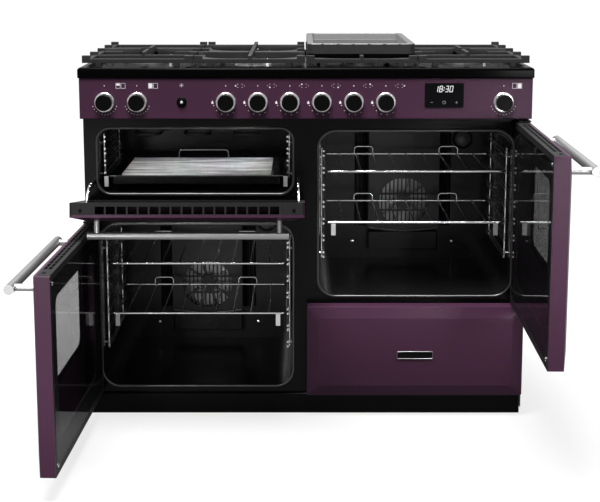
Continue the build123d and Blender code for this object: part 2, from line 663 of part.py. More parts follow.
def carcass():
    """Side panels, back, base, divider, plinth and feet."""
    side = block(INNER_HALF, HALF_WIDTH, 0, BODY_DEPTH, CASING_LIFT, HOB_Z)
    save("side_panels", side, side.mirror(Plane.YZ))
    back = block(-INNER_HALF, INNER_HALF, BACK_Y, BODY_DEPTH, BASE_TOP, HOB_Z)
    back += rod_y(GLAND_X, BODY_DEPTH, BODY_DEPTH + GLAND_LENGTH, GLAND_Z, GLAND_RADIUS)
    back -= rod_y(GLAND_X, BACK_Y - OVERCUT, BODY_DEPTH + GLAND_LENGTH + OVERCUT, GLAND_Z, GLAND_BORE)
    back -= rod_y(INLET_X, BACK_Y - OVERCUT, BODY_DEPTH + OVERCUT, KNOB_Z, SUPPLY_RADIUS + HOLE_CLEARANCE)
    save("back_panel", back)
    plinth_back = PLINTH_THICKNESS - PLINTH_FRONT
    save("base_tray", block(-INNER_HALF, INNER_HALF, plinth_back, BODY_DEPTH, BASE_HEIGHT, BASE_TOP))
    half = DIVIDER_SHEET / 2
    save("centre_divider", block(-half, half, max(FRAME_SHEET, plinth_back), BACK_Y, BASE_TOP, FRAME_TOP))
    plinth_half = HALF_WIDTH - PLINTH_INSET
    plinth = block(-plinth_half, plinth_half, -PLINTH_FRONT, plinth_back, 0, PLINTH_HEIGHT)
    front_edges = plinth.edges().filter_by(Axis.X).group_by(Axis.Y)[0].group_by(Axis.Z)[-1]
    save("plinth", fillet(front_edges, PLINTH_ROUND))
    feet = [
        rod_z(x, y, 0, FOOT_PAD, FOOT_RADIUS) + rod_z(x, y, FOOT_PAD, BASE_HEIGHT, FOOT_STUD_RADIUS)
        for x in (-FOOT_X, FOOT_X)
        for y in FOOT_Y
    ]
    save("levelling_feet", *feet)


def ladder(z, count, start, pitch):
    """A shelf ladder on a wall at X = 0, reaching towards +X: two posts, wire pairs and wall pegs."""
    wires = []
    back = LADDER_FRONT + LADDER_LENGTH
    for level in range(count):
        for lift in (0, LEVEL_GAP):
            height = z + start + level * pitch + lift
            wires.append(rod_y(LADDER_WIRE_X, LADDER_FRONT, back, height, LADDER_WIRE))
    first = z + start
    last = first + (count - 1) * pitch
    low = first - LADDER_WIRE - LADDER_POST_END
    high = last + LEVEL_GAP + LADDER_WIRE + LADDER_POST_END
    for y in (LADDER_FRONT + LADDER_POST_INSET, back - LADDER_POST_INSET):
        wires.append(rod_z(LADDER_STANDOFF, y, low, high, LADDER_POST))
        for height in (first + LEVEL_GAP / 2, last - LEVEL_GAP / 2):
            wires.append(rod_x(0, LADDER_STANDOFF, y, height, LADDER_WIRE))
    return wires[0] + wires[1:]


def ladders():
    """Ladders on both walls of each cavity."""
    pieces = []
    for name, centre, z, _, _ in CAVITIES:
        if name == "grill_cavity":
            one = ladder(z, GRILL_LEVEL_COUNT, GRILL_LEVEL_START, GRILL_LEVEL_PITCH)
        else:
            one = ladder(z, LEVEL_COUNT, LEVEL_START, LEVEL_PITCH)
        half = CAVITY_WIDTH / 2
        pieces.append(Pos(centre - half, 0, 0) * one)
        pieces.append(Pos(centre + half, 0, 0) * one.mirror(Plane.YZ))
    save("shelf_ladders", *pieces)


def rack():
    """A wire rack, centred on X = 0 with its outer bar at Z = 0, and the two loops welded on at the back."""
    half = CAVITY_WIDTH / 2 - RACK_SIDE
    y0 = RACK_FRONT + RACK_BAR
    y1 = RACK_FRONT + RACK_DEPTH - RACK_BAR
    middle = (y0 + y1) / 2
    outline = (Pos(0, middle) * RectangleRounded(2 * half, y1 - y0, RACK_CORNER)).wire()
    bars = [sweep(Plane(origin=outline @ 0, z_dir=outline % 0) * Circle(RACK_BAR), path=outline)]
    pitch = 2 * half / (RACK_WIRE_COUNT + 1)
    for i in range(RACK_WIRE_COUNT):
        bars.append(rod_y(-half + (i + 1) * pitch, y0, y1, 0, RACK_WIRE))
    grid = bars[0] + bars[1:]
    loops = []
    for side in (-1, 1):
        outer = side * (half - RACK_LOOP_INSET)
        inner = outer - side * RACK_LOOP_WIDTH
        corners = [(outer, 0), (outer, RACK_LOOP_HEIGHT), (inner, RACK_LOOP_HEIGHT), (inner, 0)]
        path = FilletPolyline(*((x, y1, z) for x, z in corners), radius=RACK_LOOP_ROUND)
        loops.append(sweep(Plane(origin=path @ 0, z_dir=path % 0) * Circle(RACK_WIRE), path=path) - grid)
    return grid, loops


def rack_tabs(grid):
    """The two flat tabs that hang from the front bar of a lower rack."""
    reach = CAVITY_WIDTH / 2 - RACK_SIDE - TAB_INSET
    y0 = RACK_FRONT + RACK_BAR - TAB_SHEET / 2
    half = TAB_WIDTH / 2
    return [
        block(x - half, x + half, y0, y0 + TAB_SHEET, -TAB_HEIGHT, 0) - grid
        for x in (-reach, reach)
    ]


def racks():
    """Two racks in each oven, each between the wire pair of its level."""
    grid, loops = rack()
    upper = [grid, *loops]
    lower = upper + rack_tabs(grid)
    for oven, (centre, z) in zip(("left", "right"), OVENS):
        for place, level, pieces in (("lower", LOWER_RACK_LEVEL, lower), ("upper", UPPER_RACK_LEVEL, upper)):
            height = z + LEVEL_START + level * LEVEL_PITCH + LEVEL_GAP / 2
            save(f"{oven}_oven_{place}_rack", *(Pos(centre, 0, height) * piece for piece in pieces))


def grill_pan():
    """The grill pan, hung by its rim on the lowest wire pair, and the trivet in it."""
    rim_z = GRILL_Z + GRILL_LEVEL_START + LADDER_WIRE + SEAT_GAP
    rim_top = rim_z + PAN_RIM
    half = CAVITY_WIDTH / 2 - RACK_SIDE + RACK_BAR
    x0, x1 = -DOOR_CENTRE - half, -DOOR_CENTRE + half
    y0, y1 = RACK_FRONT, RACK_FRONT + PAN_LENGTH
    bottom = rim_z - PAN_DEPTH

    def level_prism(inset, z0, z1):
        middle = Plane.XY.offset(z0) * Pos((x0 + x1) / 2, (y0 + y1) / 2)
        outline = RectangleRounded(x1 - x0 - 2 * inset, y1 - y0 - 2 * inset, PAN_ROUND)
        return extrude(middle * outline, amount=z1 - z0)

    pan = level_prism(0, rim_z, rim_top) + level_prism(PAN_RIM_WIDTH, bottom, rim_z)
    pan -= level_prism(PAN_RIM_WIDTH + PAN_SHEET, bottom + PAN_SHEET, rim_top + OVERCUT)
    save("grill_pan", pan)

    seat = bottom + PAN_SHEET
    top = seat + TRIVET_RISE
    tx0, tx1 = x0 + TRIVET_MARGIN, x1 - TRIVET_MARGIN
    ty0, ty1 = y0 + TRIVET_MARGIN / 2, y1 - TRIVET_MARGIN / 2
    pitch = (ty1 - ty0) / (TRIVET_BAR_COUNT - 1)
    bars = [rod_x(tx0, tx1, ty0 + i * pitch, top, TRIVET_BAR) for i in range(TRIVET_BAR_COUNT)]
    cross_columns = (tx0 + TRIVET_CROSS_INSET, tx1 - TRIVET_CROSS_INSET)
    cross_z = top - TRIVET_CROSS_DROP
    bars += [rod_y(x, ty0 - pitch / 4, ty1 + pitch / 4, cross_z, TRIVET_CROSS) for x in cross_columns]
    leg_rows = (ty0 + pitch / 2, ty1 - pitch / 2)
    bars += [rod_z(x, y, seat, cross_z, TRIVET_LEG) for x in cross_columns for y in leg_rows]
    save("grill_trivet", bars[0] + bars[1:])


def grill_element():
    """A serpentine heating rod under the grill roof, on two hanger strips."""
    z = GRILL_Z + GRILL_HEIGHT - ELEMENT_DROP
    half = (ELEMENT_PASSES - 1) * ELEMENT_PITCH / 2
    points = []
    for i in range(ELEMENT_PASSES):
        x = -DOOR_CENTRE - half + i * ELEMENT_PITCH
        turns = (ELEMENT_BACK, ELEMENT_FRONT) if i % 2 == 0 else (ELEMENT_FRONT, ELEMENT_BACK)
        points += [(x, y, z) for y in turns]
    points[0] = (-DOOR_CENTRE - half, CAVITY_INNER_BACK, z)
    points[-1] = (-DOOR_CENTRE + half, CAVITY_INNER_BACK, z)
    path = FilletPolyline(*points, radius=ELEMENT_BEND)
    element = sweep(Plane(origin=path @ 0, z_dir=path % 0) * Circle(ELEMENT_RADIUS), path=path)
    for y in (ELEMENT_FRONT + HANGER_INSET, ELEMENT_BACK - HANGER_INSET):
        element += block(
            -DOOR_CENTRE - half, -DOOR_CENTRE + half, y, y + HANGER_SHEET, z, GRILL_Z + GRILL_HEIGHT
        )
    save("grill_element", element)


def fan_grille():
    """The slots of a fan cover: upright slots in rows, kept to a ring about the fan's axis."""
    ring = Circle(FAN_GRILLE_RADIUS) - Circle(FAN_GRILLE_CENTRE)
    row_height = 2 * FAN_GRILLE_RADIUS / FAN_SLOT_ROWS
    slots = [
        Pos((i - (FAN_SLOT_COLUMNS - 1) / 2) * FAN_SLOT_PITCH, (j - (FAN_SLOT_ROWS - 1) / 2) * row_height)
        * Rectangle(FAN_SLOT_WIDTH, row_height - FAN_BRIDGE)
        for i in range(FAN_SLOT_COLUMNS)
        for j in range(FAN_SLOT_ROWS)
    ]
    return ring & (slots[0] + slots[1:])


def fan_covers():
    """A box cover with a slotted front over each fan."""
    grille = fan_grille()
    covers = []
    for centre, z in OVENS:
        half = FAN_COVER_WIDTH / 2
        low = z + FAN_COVER_SILL
        sides = (centre - half, centre + half, low, low + FAN_COVER_HEIGHT)
        cover = front_prism(*sides, GLASS_ROUND, FAN_COVER_Y, CAVITY_INNER_BACK)
        sheet = FAN_COVER_SHEET
        hollow = (sides[0] + sheet, sides[1] - sheet, sides[2] + sheet, sides[3] - sheet)
        cover -= front_prism(*hollow, GLASS_ROUND - sheet, FAN_COVER_Y + sheet, CAVITY_INNER_BACK + OVERCUT)
        axis = (centre, FAN_COVER_Y + sheet + OVERCUT, z + FAN_AXIS_HEIGHT)
        plane = Plane(origin=axis, x_dir=(1, 0, 0), z_dir=(0, -1, 0))
        cover -= extrude(plane * grille, amount=sheet + 2 * OVERCUT)
        covers.append(cover)
    save("fan_covers", *covers)


def fans():
    """A bladed fan wheel on a shaft in each oven, and the motor behind the back wall."""
    motors = []
    blade_y = FAN_DISC_Y - FAN_BLADE_WIDTH
    for name, (centre, z) in zip(("left_fan", "right_fan"), OVENS):
        height = z + FAN_AXIS_HEIGHT
        wheel = rod_y(0, FAN_DISC_Y - FAN_SHEET, FAN_DISC_Y, 0, FAN_RADIUS)
        wheel += rod_y(0, blade_y, FAN_DISC_Y, 0, FAN_HUB_RADIUS)
        wheel += rod_y(0, blade_y, FAN_DISC_Y + FAN_SHAFT_LENGTH, 0, FAN_SHAFT_RADIUS)
        half = FAN_SHEET / 2
        blade = block(
            FAN_HUB_RADIUS - FAN_SHEET, FAN_RADIUS - FAN_SHEET, blade_y, FAN_DISC_Y, -half, half
        )
        wheel += [Rot(0, 360 * i / FAN_BLADE_COUNT, 0) * blade for i in range(FAN_BLADE_COUNT)]
        save(name, Pos(centre, 0, height) * wheel)
        motor = rod_y(centre, CAVITY_BACK, CAVITY_BACK + MOTOR_LENGTH, height, MOTOR_RADIUS)
        bore_end = FAN_DISC_Y + FAN_SHAFT_LENGTH + HOLE_CLEARANCE
        motor -= rod_y(centre, CAVITY_BACK - OVERCUT, bore_end, height, FAN_SHAFT_RADIUS + PIN_CLEARANCE)
        motors.append(motor)
    save("fan_motors", *motors)


def control_panel():
    """The fascia: a pressed channel with holes for the spindles, button and display."""
    sheet = PANEL_SHEET
    fascia = block(-HALF_WIDTH, HALF_WIDTH, FACE_Y, 0, PANEL_Z, HOB_Z)
    front_edges = fascia.edges().group_by(Axis.Y)[0]
    fascia = fillet(front_edges, PANEL_ROUND)
    fascia -= block(
        -HALF_WIDTH + sheet, HALF_WIDTH - sheet, FACE_Y + sheet, OVERCUT, PANEL_Z + sheet, HOB_Z - sheet
    )
    hole = (FACE_Y - OVERCUT, PANEL_BACK + OVERCUT, KNOB_Z)
    fascia -= [rod_y(x, *hole, SPINDLE_RADIUS + HOLE_CLEARANCE) for x in ALL_KNOB_X]
    fascia -= rod_y(BUTTON_X, *hole, BUTTON_RADIUS + SLIP_FIT)
    fascia -= front_prism(*display_sides(DISPLAY_LIP), SLIP_FIT, FACE_Y - OVERCUT, PANEL_BACK + OVERCUT)
    save("control_panel", fascia)


def display_sides(inset):
    """The display's sides, drawn in by inset."""
    half = DISPLAY_WIDTH / 2 - inset
    low = PANEL_Z + DISPLAY_RAISE
    return (DISPLAY_X - half, DISPLAY_X + half, low + inset, low + DISPLAY_HEIGHT - inset)


def display_module():
    """The clock: a glass plate on the fascia, with its body through the opening."""
    plate = front_prism(*display_sides(0), DISPLAY_LIP, FACE_Y - DISPLAY_PROUD, FACE_Y)
    body = display_sides(DISPLAY_LIP + SLIP_FIT)
    body = block(body[0], body[1], FACE_Y - DISPLAY_PROUD / 2, FACE_Y + DISPLAY_DEPTH, body[2], body[3])
    save("display_module", plate + body)


def control_gear():
    """Gas taps on their manifold, the inlet pipe, the oven switches and the light switch."""
    bore_end = FACE_Y + SPINDLE_REACH + HOLE_CLEARANCE
    bore = (FACE_Y - OVERCUT, bore_end, KNOB_Z, SPINDLE_RADIUS + PIN_CLEARANCE)
    tap_y = PANEL_BACK + TAP_NECK
    tap_end = PANEL_BACK + TAP_LENGTH
    pieces = []
    half = TAP_WIDTH / 2
    rise = TAP_HEIGHT / 2
    for x in BURNER_KNOB_X:
        tap = block(x - half, x + half, tap_y, tap_end, KNOB_Z - rise, KNOB_Z + rise)
        tap += rod_y(x, PANEL_BACK, tap_y, KNOB_Z, TAP_NECK_RADIUS)
        pieces.append(tap - rod_y(x, *bore))
    half = SWITCH_SIZE / 2
    for x in SWITCH_X:
        switch = block(
            x - half, x + half, PANEL_BACK, PANEL_BACK + SWITCH_LENGTH, KNOB_Z - half, KNOB_Z + half
        )
        pieces.append(switch - rod_y(x, *bore))
    run = max(max(BURNER_KNOB_X), INLET_X) + MANIFOLD_OVERRUN
    low = KNOB_Z - MANIFOLD_SIZE / 2
    pieces.append(block(-run, run, tap_end, tap_end + MANIFOLD_SIZE, low, low + MANIFOLD_SIZE))
    supply = rod_y(INLET_X, tap_end + MANIFOLD_SIZE, BODY_DEPTH, KNOB_Z, SUPPLY_RADIUS)
    inlet = rod_y(INLET_X, BODY_DEPTH, BODY_DEPTH + INLET_REACH, KNOB_Z, INLET_RADIUS)
    pieces.append(supply + inlet)
    half = BUTTON_SWITCH / 2
    switch_end = PANEL_BACK + BUTTON_SWITCH_LENGTH
    switch = block(BUTTON_X - half, BUTTON_X + half, PANEL_BACK, switch_end, KNOB_Z - half, KNOB_Z + half)
    pocket_end = FACE_Y - BUTTON_PROUD + BUTTON_LENGTH + BUTTON_TRAVEL + HOLE_CLEARANCE
    pieces.append(switch - rod_y(BUTTON_X, FACE_Y, pocket_end, KNOB_Z, BUTTON_RADIUS + SLIP_FIT))
    save("control_gear", *pieces)


def knobs():
    """Nine knobs: a skirt, a cap and a spindle that runs in its tap or switch."""
    skirt_y = FACE_Y - KNOB_GAP - KNOB_SKIRT
    cap_y = skirt_y - KNOB_CAP
    cap = rod_y(0, cap_y, skirt_y, 0, KNOB_CAP_RADIUS)
    cap = fillet(cap.edges().group_by(Axis.Y)[0], KNOB_ROUND)
    skirt = rod_y(0, skirt_y, FACE_Y - KNOB_GAP, 0, KNOB_SKIRT_RADIUS)
    skirt = chamfer(skirt.edges().group_by(Axis.Y)[0], KNOB_ROUND)
    knob = cap + skirt + rod_y(0, skirt_y, FACE_Y + SPINDLE_REACH, 0, SPINDLE_RADIUS)
    names = ["grill_knob", "left_oven_knob"]
    names += [f"burner_knob_{i + 1}" for i in range(len(BURNER_KNOB_X))]
    names += ["right_oven_knob"]
    for name, x in zip(names, ALL_KNOB_X):
        save(name, Pos(x, 0, KNOB_Z) * knob)
    face = FACE_Y - BUTTON_PROUD
    button = rod_y(BUTTON_X, face, face + BUTTON_LENGTH, KNOB_Z, BUTTON_RADIUS)
    save("light_button", fillet(button.edges().group_by(Axis.Y)[0], KNOB_ROUND))


def hob():
    """Trim, plate and burners of the hob."""
    half = HALF_WIDTH + TRIM_OVERHANG
    front = FACE_Y - TRIM_OVERHANG
    trim = block(-half, half, front, BODY_DEPTH, HOB_Z, TRIM_TOP)
    top = trim.edges().group_by(Axis.Z)[-1]
    trim = fillet(top, TRIM_ROUND)
    inner = half - TRIM_SIDE
    y0, y1 = front + TRIM_FRONT, BODY_DEPTH - TRIM_BACK
    trim -= block(-inner, inner, y0, y1, HOB_Z - OVERCUT, TRIM_TOP + OVERCUT)
    save("hob_trim", trim)
    plate = block(-inner, inner, y0, y1, PLATE_Z, PLATE_TOP)
    eye = BURNER_STEM_RADIUS + HOLE_CLEARANCE
    plate -= [rod_z(x, y, PLATE_Z - OVERCUT, PLATE_TOP + OVERCUT, eye) for x, y, _ in BURNERS]
    save("hob_plate", plate)
    bodies = []
    caps = []
    for x, y, radius in BURNERS:
        crown_z = PLATE_TOP + BURNER_SKIRT
        crown_top = crown_z + BURNER_CROWN
        body = rod_z(x, y, PLATE_TOP, crown_z, radius)
        body += rod_z(x, y, crown_z, crown_top, radius - BURNER_STEP)
        body += rod_z(x, y, PLATE_TOP - BURNER_STEM, PLATE_TOP, BURNER_STEM_RADIUS)
        bodies.append(body)
        cap = rod_z(x, y, crown_top, crown_top + BURNER_CAP, radius - 2 * BURNER_STEP)
        caps.append(fillet(cap.edges().group_by(Axis.Z)[-1], BURNER_CAP_ROUND))
    save("burner_bodies", *bodies)
    save("burner_caps", *caps)


def ladder_frame(half, rows, y0, y1):
    """A support's frame of two side rails and a straight bar in each row."""
    bar_half = SUPPORT_BAR / 2
    bars = [block(-half, half, y - bar_half, y + bar_half, SUPPORT_BAR_Z, SUPPORT_BAR_TOP) for y in rows]
    for side in (-1, 1):
        a, b = sorted((side * (half - SUPPORT_BLOCK), side * (half - SUPPORT_BLOCK + SUPPORT_BAR)))
        bars.append(block(a, b, y0, y1, SUPPORT_BAR_Z, SUPPORT_BAR_TOP))
    return bars[0] + bars[1:]


def eye_frame(half, burner_places, y0, y1):
    """A support's flat frame with a rounded opening round each burner."""
    rail = half - SUPPORT_BLOCK
    edge = rail + SUPPORT_BAR
    opening = RectangleRounded(2 * rail, SUPPORT_DEPTH / 2 - 2 * SUPPORT_BAR, EYE_ROUND)
    depth = SUPPORT_BAR_HEIGHT + 2 * OVERCUT
    openings = [
        extrude(Pos(0, y, SUPPORT_BAR_Z - OVERCUT) * opening, amount=depth) for y in burner_places
    ]
    return block(-edge, edge, y0, y1, SUPPORT_BAR_Z, SUPPORT_BAR_TOP) - openings


def pan_support(burner_places, burner_radius):
    """A cast support, centred on X = 0: frame, raised end blocks, feet and fingers to each burner."""
    half = SUPPORT_WIDTH / 2
    y0, y1 = SUPPORT_FRONT, SUPPORT_FRONT + SUPPORT_DEPTH
    bar_half = SUPPORT_BAR / 2
    row_pitch = (SUPPORT_DEPTH - SUPPORT_BAR) / (SUPPORT_BARS - 1)
    rows = [y0 + bar_half + i * row_pitch for i in range(SUPPORT_BARS)]
    eye = burner_radius + BURNER_EYE_CLEARANCE
    if len(burner_places) == 1:
        support = ladder_frame(half, rows, y0, y1)
        support -= [
            rod_z(0, y, SUPPORT_BAR_Z - OVERCUT, SUPPORT_BAR_TOP + OVERCUT, eye) for y in burner_places
        ]
    else:
        support = eye_frame(half, burner_places, y0, y1)
    raised = []
    for side in (-1, 1):
        a, b = sorted((side * half, side * (half - SUPPORT_BLOCK)))
        for y in rows:
            raised.append(block(a, b, y - bar_half, y + bar_half, SUPPORT_BAR_Z, SUPPORT_TOP))
        middle = side * (half - SUPPORT_FOOT_INSET)
        foot = SUPPORT_FOOT / 2
        foot_z = PLATE_TOP + SEAT_GAP
        for y in (rows[0], rows[-1]):
            a, b = y - bar_half, y + bar_half
            raised.append(block(middle - foot, middle + foot, a, b, foot_z, SUPPORT_BAR_Z))
    finger = FINGER_WIDTH / 2
    tip = burner_radius - FINGER_LENGTH / 2
    for place in burner_places:
        reach = max(tip, FINGER_WIDTH)
        near = max(row for row in rows if row < place - eye)
        far = min(row for row in rows if row > place + eye)
        raised.append(block(-finger, finger, near - bar_half, place - reach, SUPPORT_BAR_Z, SUPPORT_TOP))
        raised.append(block(-finger, finger, place + reach, far + bar_half, SUPPORT_BAR_Z, SUPPORT_TOP))
        for side in (-1, 1):
            a, b = sorted((side * reach, side * (half - SUPPORT_BLOCK + bar_half)))
            raised.append(block(a, b, place - finger, place + finger, SUPPORT_BAR_Z, SUPPORT_TOP))
    return support + raised


def pan_supports():
    """Four pan supports side by side: one burner under the outer two, two under the inner ones."""
    single = pan_support((SUPPORT_MID_Y,), BIG_BURNER_RADIUS)
    double = pan_support((FRONT_BURNER_Y, REAR_BURNER_Y), SMALL_BURNER_RADIUS)
    for i, (x, shape) in enumerate(zip(SUPPORT_X, (single, double, double, single))):
        save(f"pan_support_{i + 1}", Pos(x, 0, 0) * shape)


def griddle():
    """A cast griddle with a raised rim, resting on the third pan support."""
    base = SUPPORT_TOP + SEAT_GAP

    def level_prism(inset, z0, z1):
        outline = RectangleRounded(
            GRIDDLE_WIDTH - 2 * inset, GRIDDLE_DEPTH - 2 * inset, GRIDDLE_ROUND - inset / 2
        )
        return extrude(Pos(SUPPORT_X[2], SUPPORT_MID_Y, z0) * outline, amount=z1 - z0)

    pan = level_prism(0, base, base + GRIDDLE_HEIGHT)
    pan -= level_prism(GRIDDLE_WALL, base + GRIDDLE_FLOOR, base + GRIDDLE_HEIGHT + OVERCUT)
    save("griddle", pan)


def drawer():
    """The storage drawer: pressed front, box with side flanges, and the runners that carry them."""
    x0, x1 = DOOR_NEAR, DOOR_FAR
    save("drawer_front", pressed_front(x0, x1, LOWER_Z, DRAWER_TOP))
    step = PANEL_SHEET + SLIP_FIT
    sheet = DRAWER_SHEET
    back = INNER_Y + DRAWER_BOX_DEPTH
    bx0, bx1 = x0 + DRAWER_INSET, x1 - DRAWER_INSET
    low = LOWER_Z + DRAWER_BOX_LIFT
    high = low + DRAWER_BOX_HEIGHT
    box = block(bx0, bx1, INNER_Y - sheet, back, low, high)
    box -= block(bx0 + sheet, bx1 - sheet, INNER_Y, back - sheet, low + sheet, high + OVERCUT)
    plate = (x0 + step, x1 - step, LOWER_Z + step, DRAWER_TOP - step)
    box += front_prism(*plate, EDGE_ROUND, INNER_Y - sheet, INNER_Y)
    runner_top = LOWER_Z + RUNNER_RISE
    flange_z = runner_top + SEAT_GAP
    for a, b in ((bx0 - RUNNER_FLANGE, bx0), (bx1, bx1 + RUNNER_FLANGE)):
        box += block(a, b, RUNNER_FRONT, back, flange_z, flange_z + sheet)
    save("drawer_box", box)
    ledges = (
        (DIVIDER_SHEET / 2, bx0 - RUNNER_FLANGE + RUNNER_LAP),
        (bx1 + RUNNER_FLANGE - RUNNER_LAP, INNER_HALF),
    )
    runners = [
        block(a, b, RUNNER_FRONT, RUNNER_FRONT + RUNNER_LENGTH, runner_top - RUNNER_SHEET, runner_top)
        for a, b in ledges
    ]
    save("drawer_runners", *runners)


os.makedirs("parts", exist_ok=True)
carcass()
front_frame()
cavities()
ladders()
racks()
grill_pan()
grill_element()
fan_covers()
fans()
control_panel()
display_module()
control_gear()
knobs()
hob()
pan_supports()
griddle()
drawer()
hinge_brackets()
side_door("left_door", -1, LOWER_Z, LEFT_DOOR_TOP, LEFT_HINGE, -LEFT_DOOR_OPEN)
side_door("right_door", 1, RIGHT_DOOR_Z, DOORS_TOP, RIGHT_HINGE, RIGHT_DOOR_OPEN)
grill_door()
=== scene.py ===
import json
from math import radians

import bmesh
import bpy
import numpy as np
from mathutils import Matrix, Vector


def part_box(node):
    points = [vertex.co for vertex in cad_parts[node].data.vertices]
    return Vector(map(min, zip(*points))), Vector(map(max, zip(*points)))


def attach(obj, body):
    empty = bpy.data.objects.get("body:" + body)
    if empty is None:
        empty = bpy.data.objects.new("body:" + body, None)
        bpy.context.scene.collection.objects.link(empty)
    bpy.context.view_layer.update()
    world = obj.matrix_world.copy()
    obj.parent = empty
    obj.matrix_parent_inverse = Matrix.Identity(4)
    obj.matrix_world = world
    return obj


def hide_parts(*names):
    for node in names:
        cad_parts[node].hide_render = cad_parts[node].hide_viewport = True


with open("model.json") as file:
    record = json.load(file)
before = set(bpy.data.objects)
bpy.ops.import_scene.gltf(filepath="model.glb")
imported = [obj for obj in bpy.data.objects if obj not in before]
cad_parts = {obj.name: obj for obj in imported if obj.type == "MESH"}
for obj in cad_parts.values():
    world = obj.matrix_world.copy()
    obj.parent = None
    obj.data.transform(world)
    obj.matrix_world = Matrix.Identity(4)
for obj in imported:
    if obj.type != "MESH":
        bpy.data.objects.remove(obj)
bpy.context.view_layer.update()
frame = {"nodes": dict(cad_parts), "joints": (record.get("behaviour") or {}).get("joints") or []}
NODES = frame["nodes"]
JOINTS = {joint["name"]: joint for joint in frame["joints"]}

# The front of the fascia, in metres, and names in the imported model
FACE_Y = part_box("control_panel")[0].y
BURNER_KNOBS = [f"burner_knob_{i}" for i in range(1, 7)]
OVEN_KNOBS = ["grill_knob", "left_oven_knob", "right_oven_knob"]
SUPPORTS = [f"pan_support_{i}" for i in range(1, 5)]
OVENS = ("left_oven", "right_oven")
RACKS = [f"{oven}_{level}_rack" for oven in OVENS for level in ("lower", "upper")]
DOOR_JOINTS = {
    "left_door": "left_door_swing",
    "right_door": "right_door_swing",
    "grill_door": "grill_door_drop",
}
FORWARD = (0.0, -1.0, 0.0)
BACKWARD = (0.0, 1.0, 0.0)
UP = (0.0, 0.0, 1.0)
SIDEWAYS = (1.0, 0.0, 0.0)

# Colours as linear red, green and blue
PLUM = (0.0470, 0.0180, 0.0378)
PLUM_DEEP = (0.0425, 0.0150, 0.0336)
BLACK = (0.0009, 0.0009, 0.0010)
SOOT = (0.0021, 0.0021, 0.0023)
SLATE = (0.0150, 0.0150, 0.0155)
ENAMEL = (0.0032, 0.0032, 0.0034)
FLECK = (0.034, 0.034, 0.036)
COVER = (0.0085, 0.0085, 0.0087)
IRON = (0.0075, 0.0075, 0.0078)
IRON_PALE = (0.0210, 0.0210, 0.0215)
CHROME = (0.74, 0.74, 0.75)
RING = (0.72, 0.71, 0.70)
RING_PALE = (0.93, 0.92, 0.91)
ZINC = (0.36, 0.37, 0.38)
ZINC_PALE = (0.50, 0.51, 0.52)
BRASS = (0.56, 0.38, 0.14)
BRASS_DARK = (0.36, 0.23, 0.08)
SHEATH = (0.030, 0.029, 0.028)
INK = (0.78, 0.77, 0.78)
GLASS = (0.006, 0.006, 0.0065)


def grey(level):
    """A grey of one level."""
    return (level, level, level)


def scaled(colour, share):
    """A colour made lighter or darker."""
    return tuple(share * part for part in colour)


STEEL = grey(0.28)
STEEL_PALE = grey(0.42)
ALLOY = grey(0.50)


class Wire:
    """A shader socket that takes part in sums: each operator adds one Math node."""

    def __init__(self, finish, socket):
        self.finish = finish
        self.socket = socket

    def maths(self, operation, first, second):
        return self.finish.node("ShaderNodeMath", {"operation": operation}, {0: first, 1: second})

    def __add__(self, other):
        return self.maths("ADD", self, other)

    def __mul__(self, other):
        return self.maths("MULTIPLY", self, other)

    def __lt__(self, other):
        return self.maths("LESS_THAN", self, other)

    def __gt__(self, other):
        return self.maths("GREATER_THAN", self, other)

    __radd__ = __add__
    __rmul__ = __mul__


class Finish:
    """One material and the nodes that feed its principled shader."""

    def __init__(self, name, **constants):
        self.material = bpy.data.materials.new(name)
        self.material.use_nodes = True
        self.tree = self.material.node_tree
        self.shader = self.tree.nodes["Principled BSDF"]
        for socket, value in constants.items():
            self.shader.inputs[socket.replace("_", " ")].default_value = value

    def node(self, kind, settings=None, inputs=None, output=0):
        """Adds a node: its settings first, then its sockets' values or links."""
        made = self.tree.nodes.new(kind)
        for key, value in (settings or {}).items():
            setattr(made, key, value)
        for key, value in (inputs or {}).items():
            self.feed(made.inputs[key], value)
        return Wire(self, made.outputs[output])

    def feed(self, socket, value):
        """Links a wire into a socket, or sets the socket's own value."""
        if isinstance(value, Wire):
            self.tree.links.new(value.socket, socket)
        elif isinstance(value, tuple) and len(value) == 3 and socket.type == "RGBA":
            socket.default_value = (*value, 1.0)
        else:
            socket.default_value = value

    def drive(self, **sockets):
        """Feeds what varies over the surface into the shader."""
        for name, value in sockets.items():
            self.feed(self.shader.inputs[name.replace("_", " ")], value)
        return self

    def place(self, scale=(1.0, 1.0, 1.0)):
        """Object coordinates, stretched."""
        spot = self.node("ShaderNodeTexCoord", output="Object")
        return self.node("ShaderNodeMapping", None, {"Vector": spot, "Scale": scale})

    def noise(self, scale, detail=2.0, roughness=0.5):
        """Soft noise from 0 to 1, with scale cells to the metre, or with a scale for each direction."""
        where, scale = (self.place(scale), 1.0) if isinstance(scale, tuple) else (self.place(), scale)
        inputs = {"Vector": where, "Scale": scale, "Detail": detail, "Roughness": roughness}
        return self.node("ShaderNodeTexNoise", None, inputs, "Fac")

    def cells(self, scale, output="Distance"):
        """Scattered cells: the distance to the nearest centre, or a colour for each cell."""
        return self.node("ShaderNodeTexVoronoi", None, {"Vector": self.place(), "Scale": scale}, output)

    def between(self, factor, first, second):
        """A colour between two colours."""
        return self.node("ShaderNodeMix", {"data_type": "RGBA"}, {0: factor, 6: first, 7: second}, 2)

    def bump(self, height, strength, distance, below=None):
        """A normal from a height, laid over another normal if one is given."""
        inputs = {"Height": height, "Strength": strength, "Distance": distance}
        if below is not None:
            inputs["Normal"] = below
        return self.node("ShaderNodeBump", None, inputs)


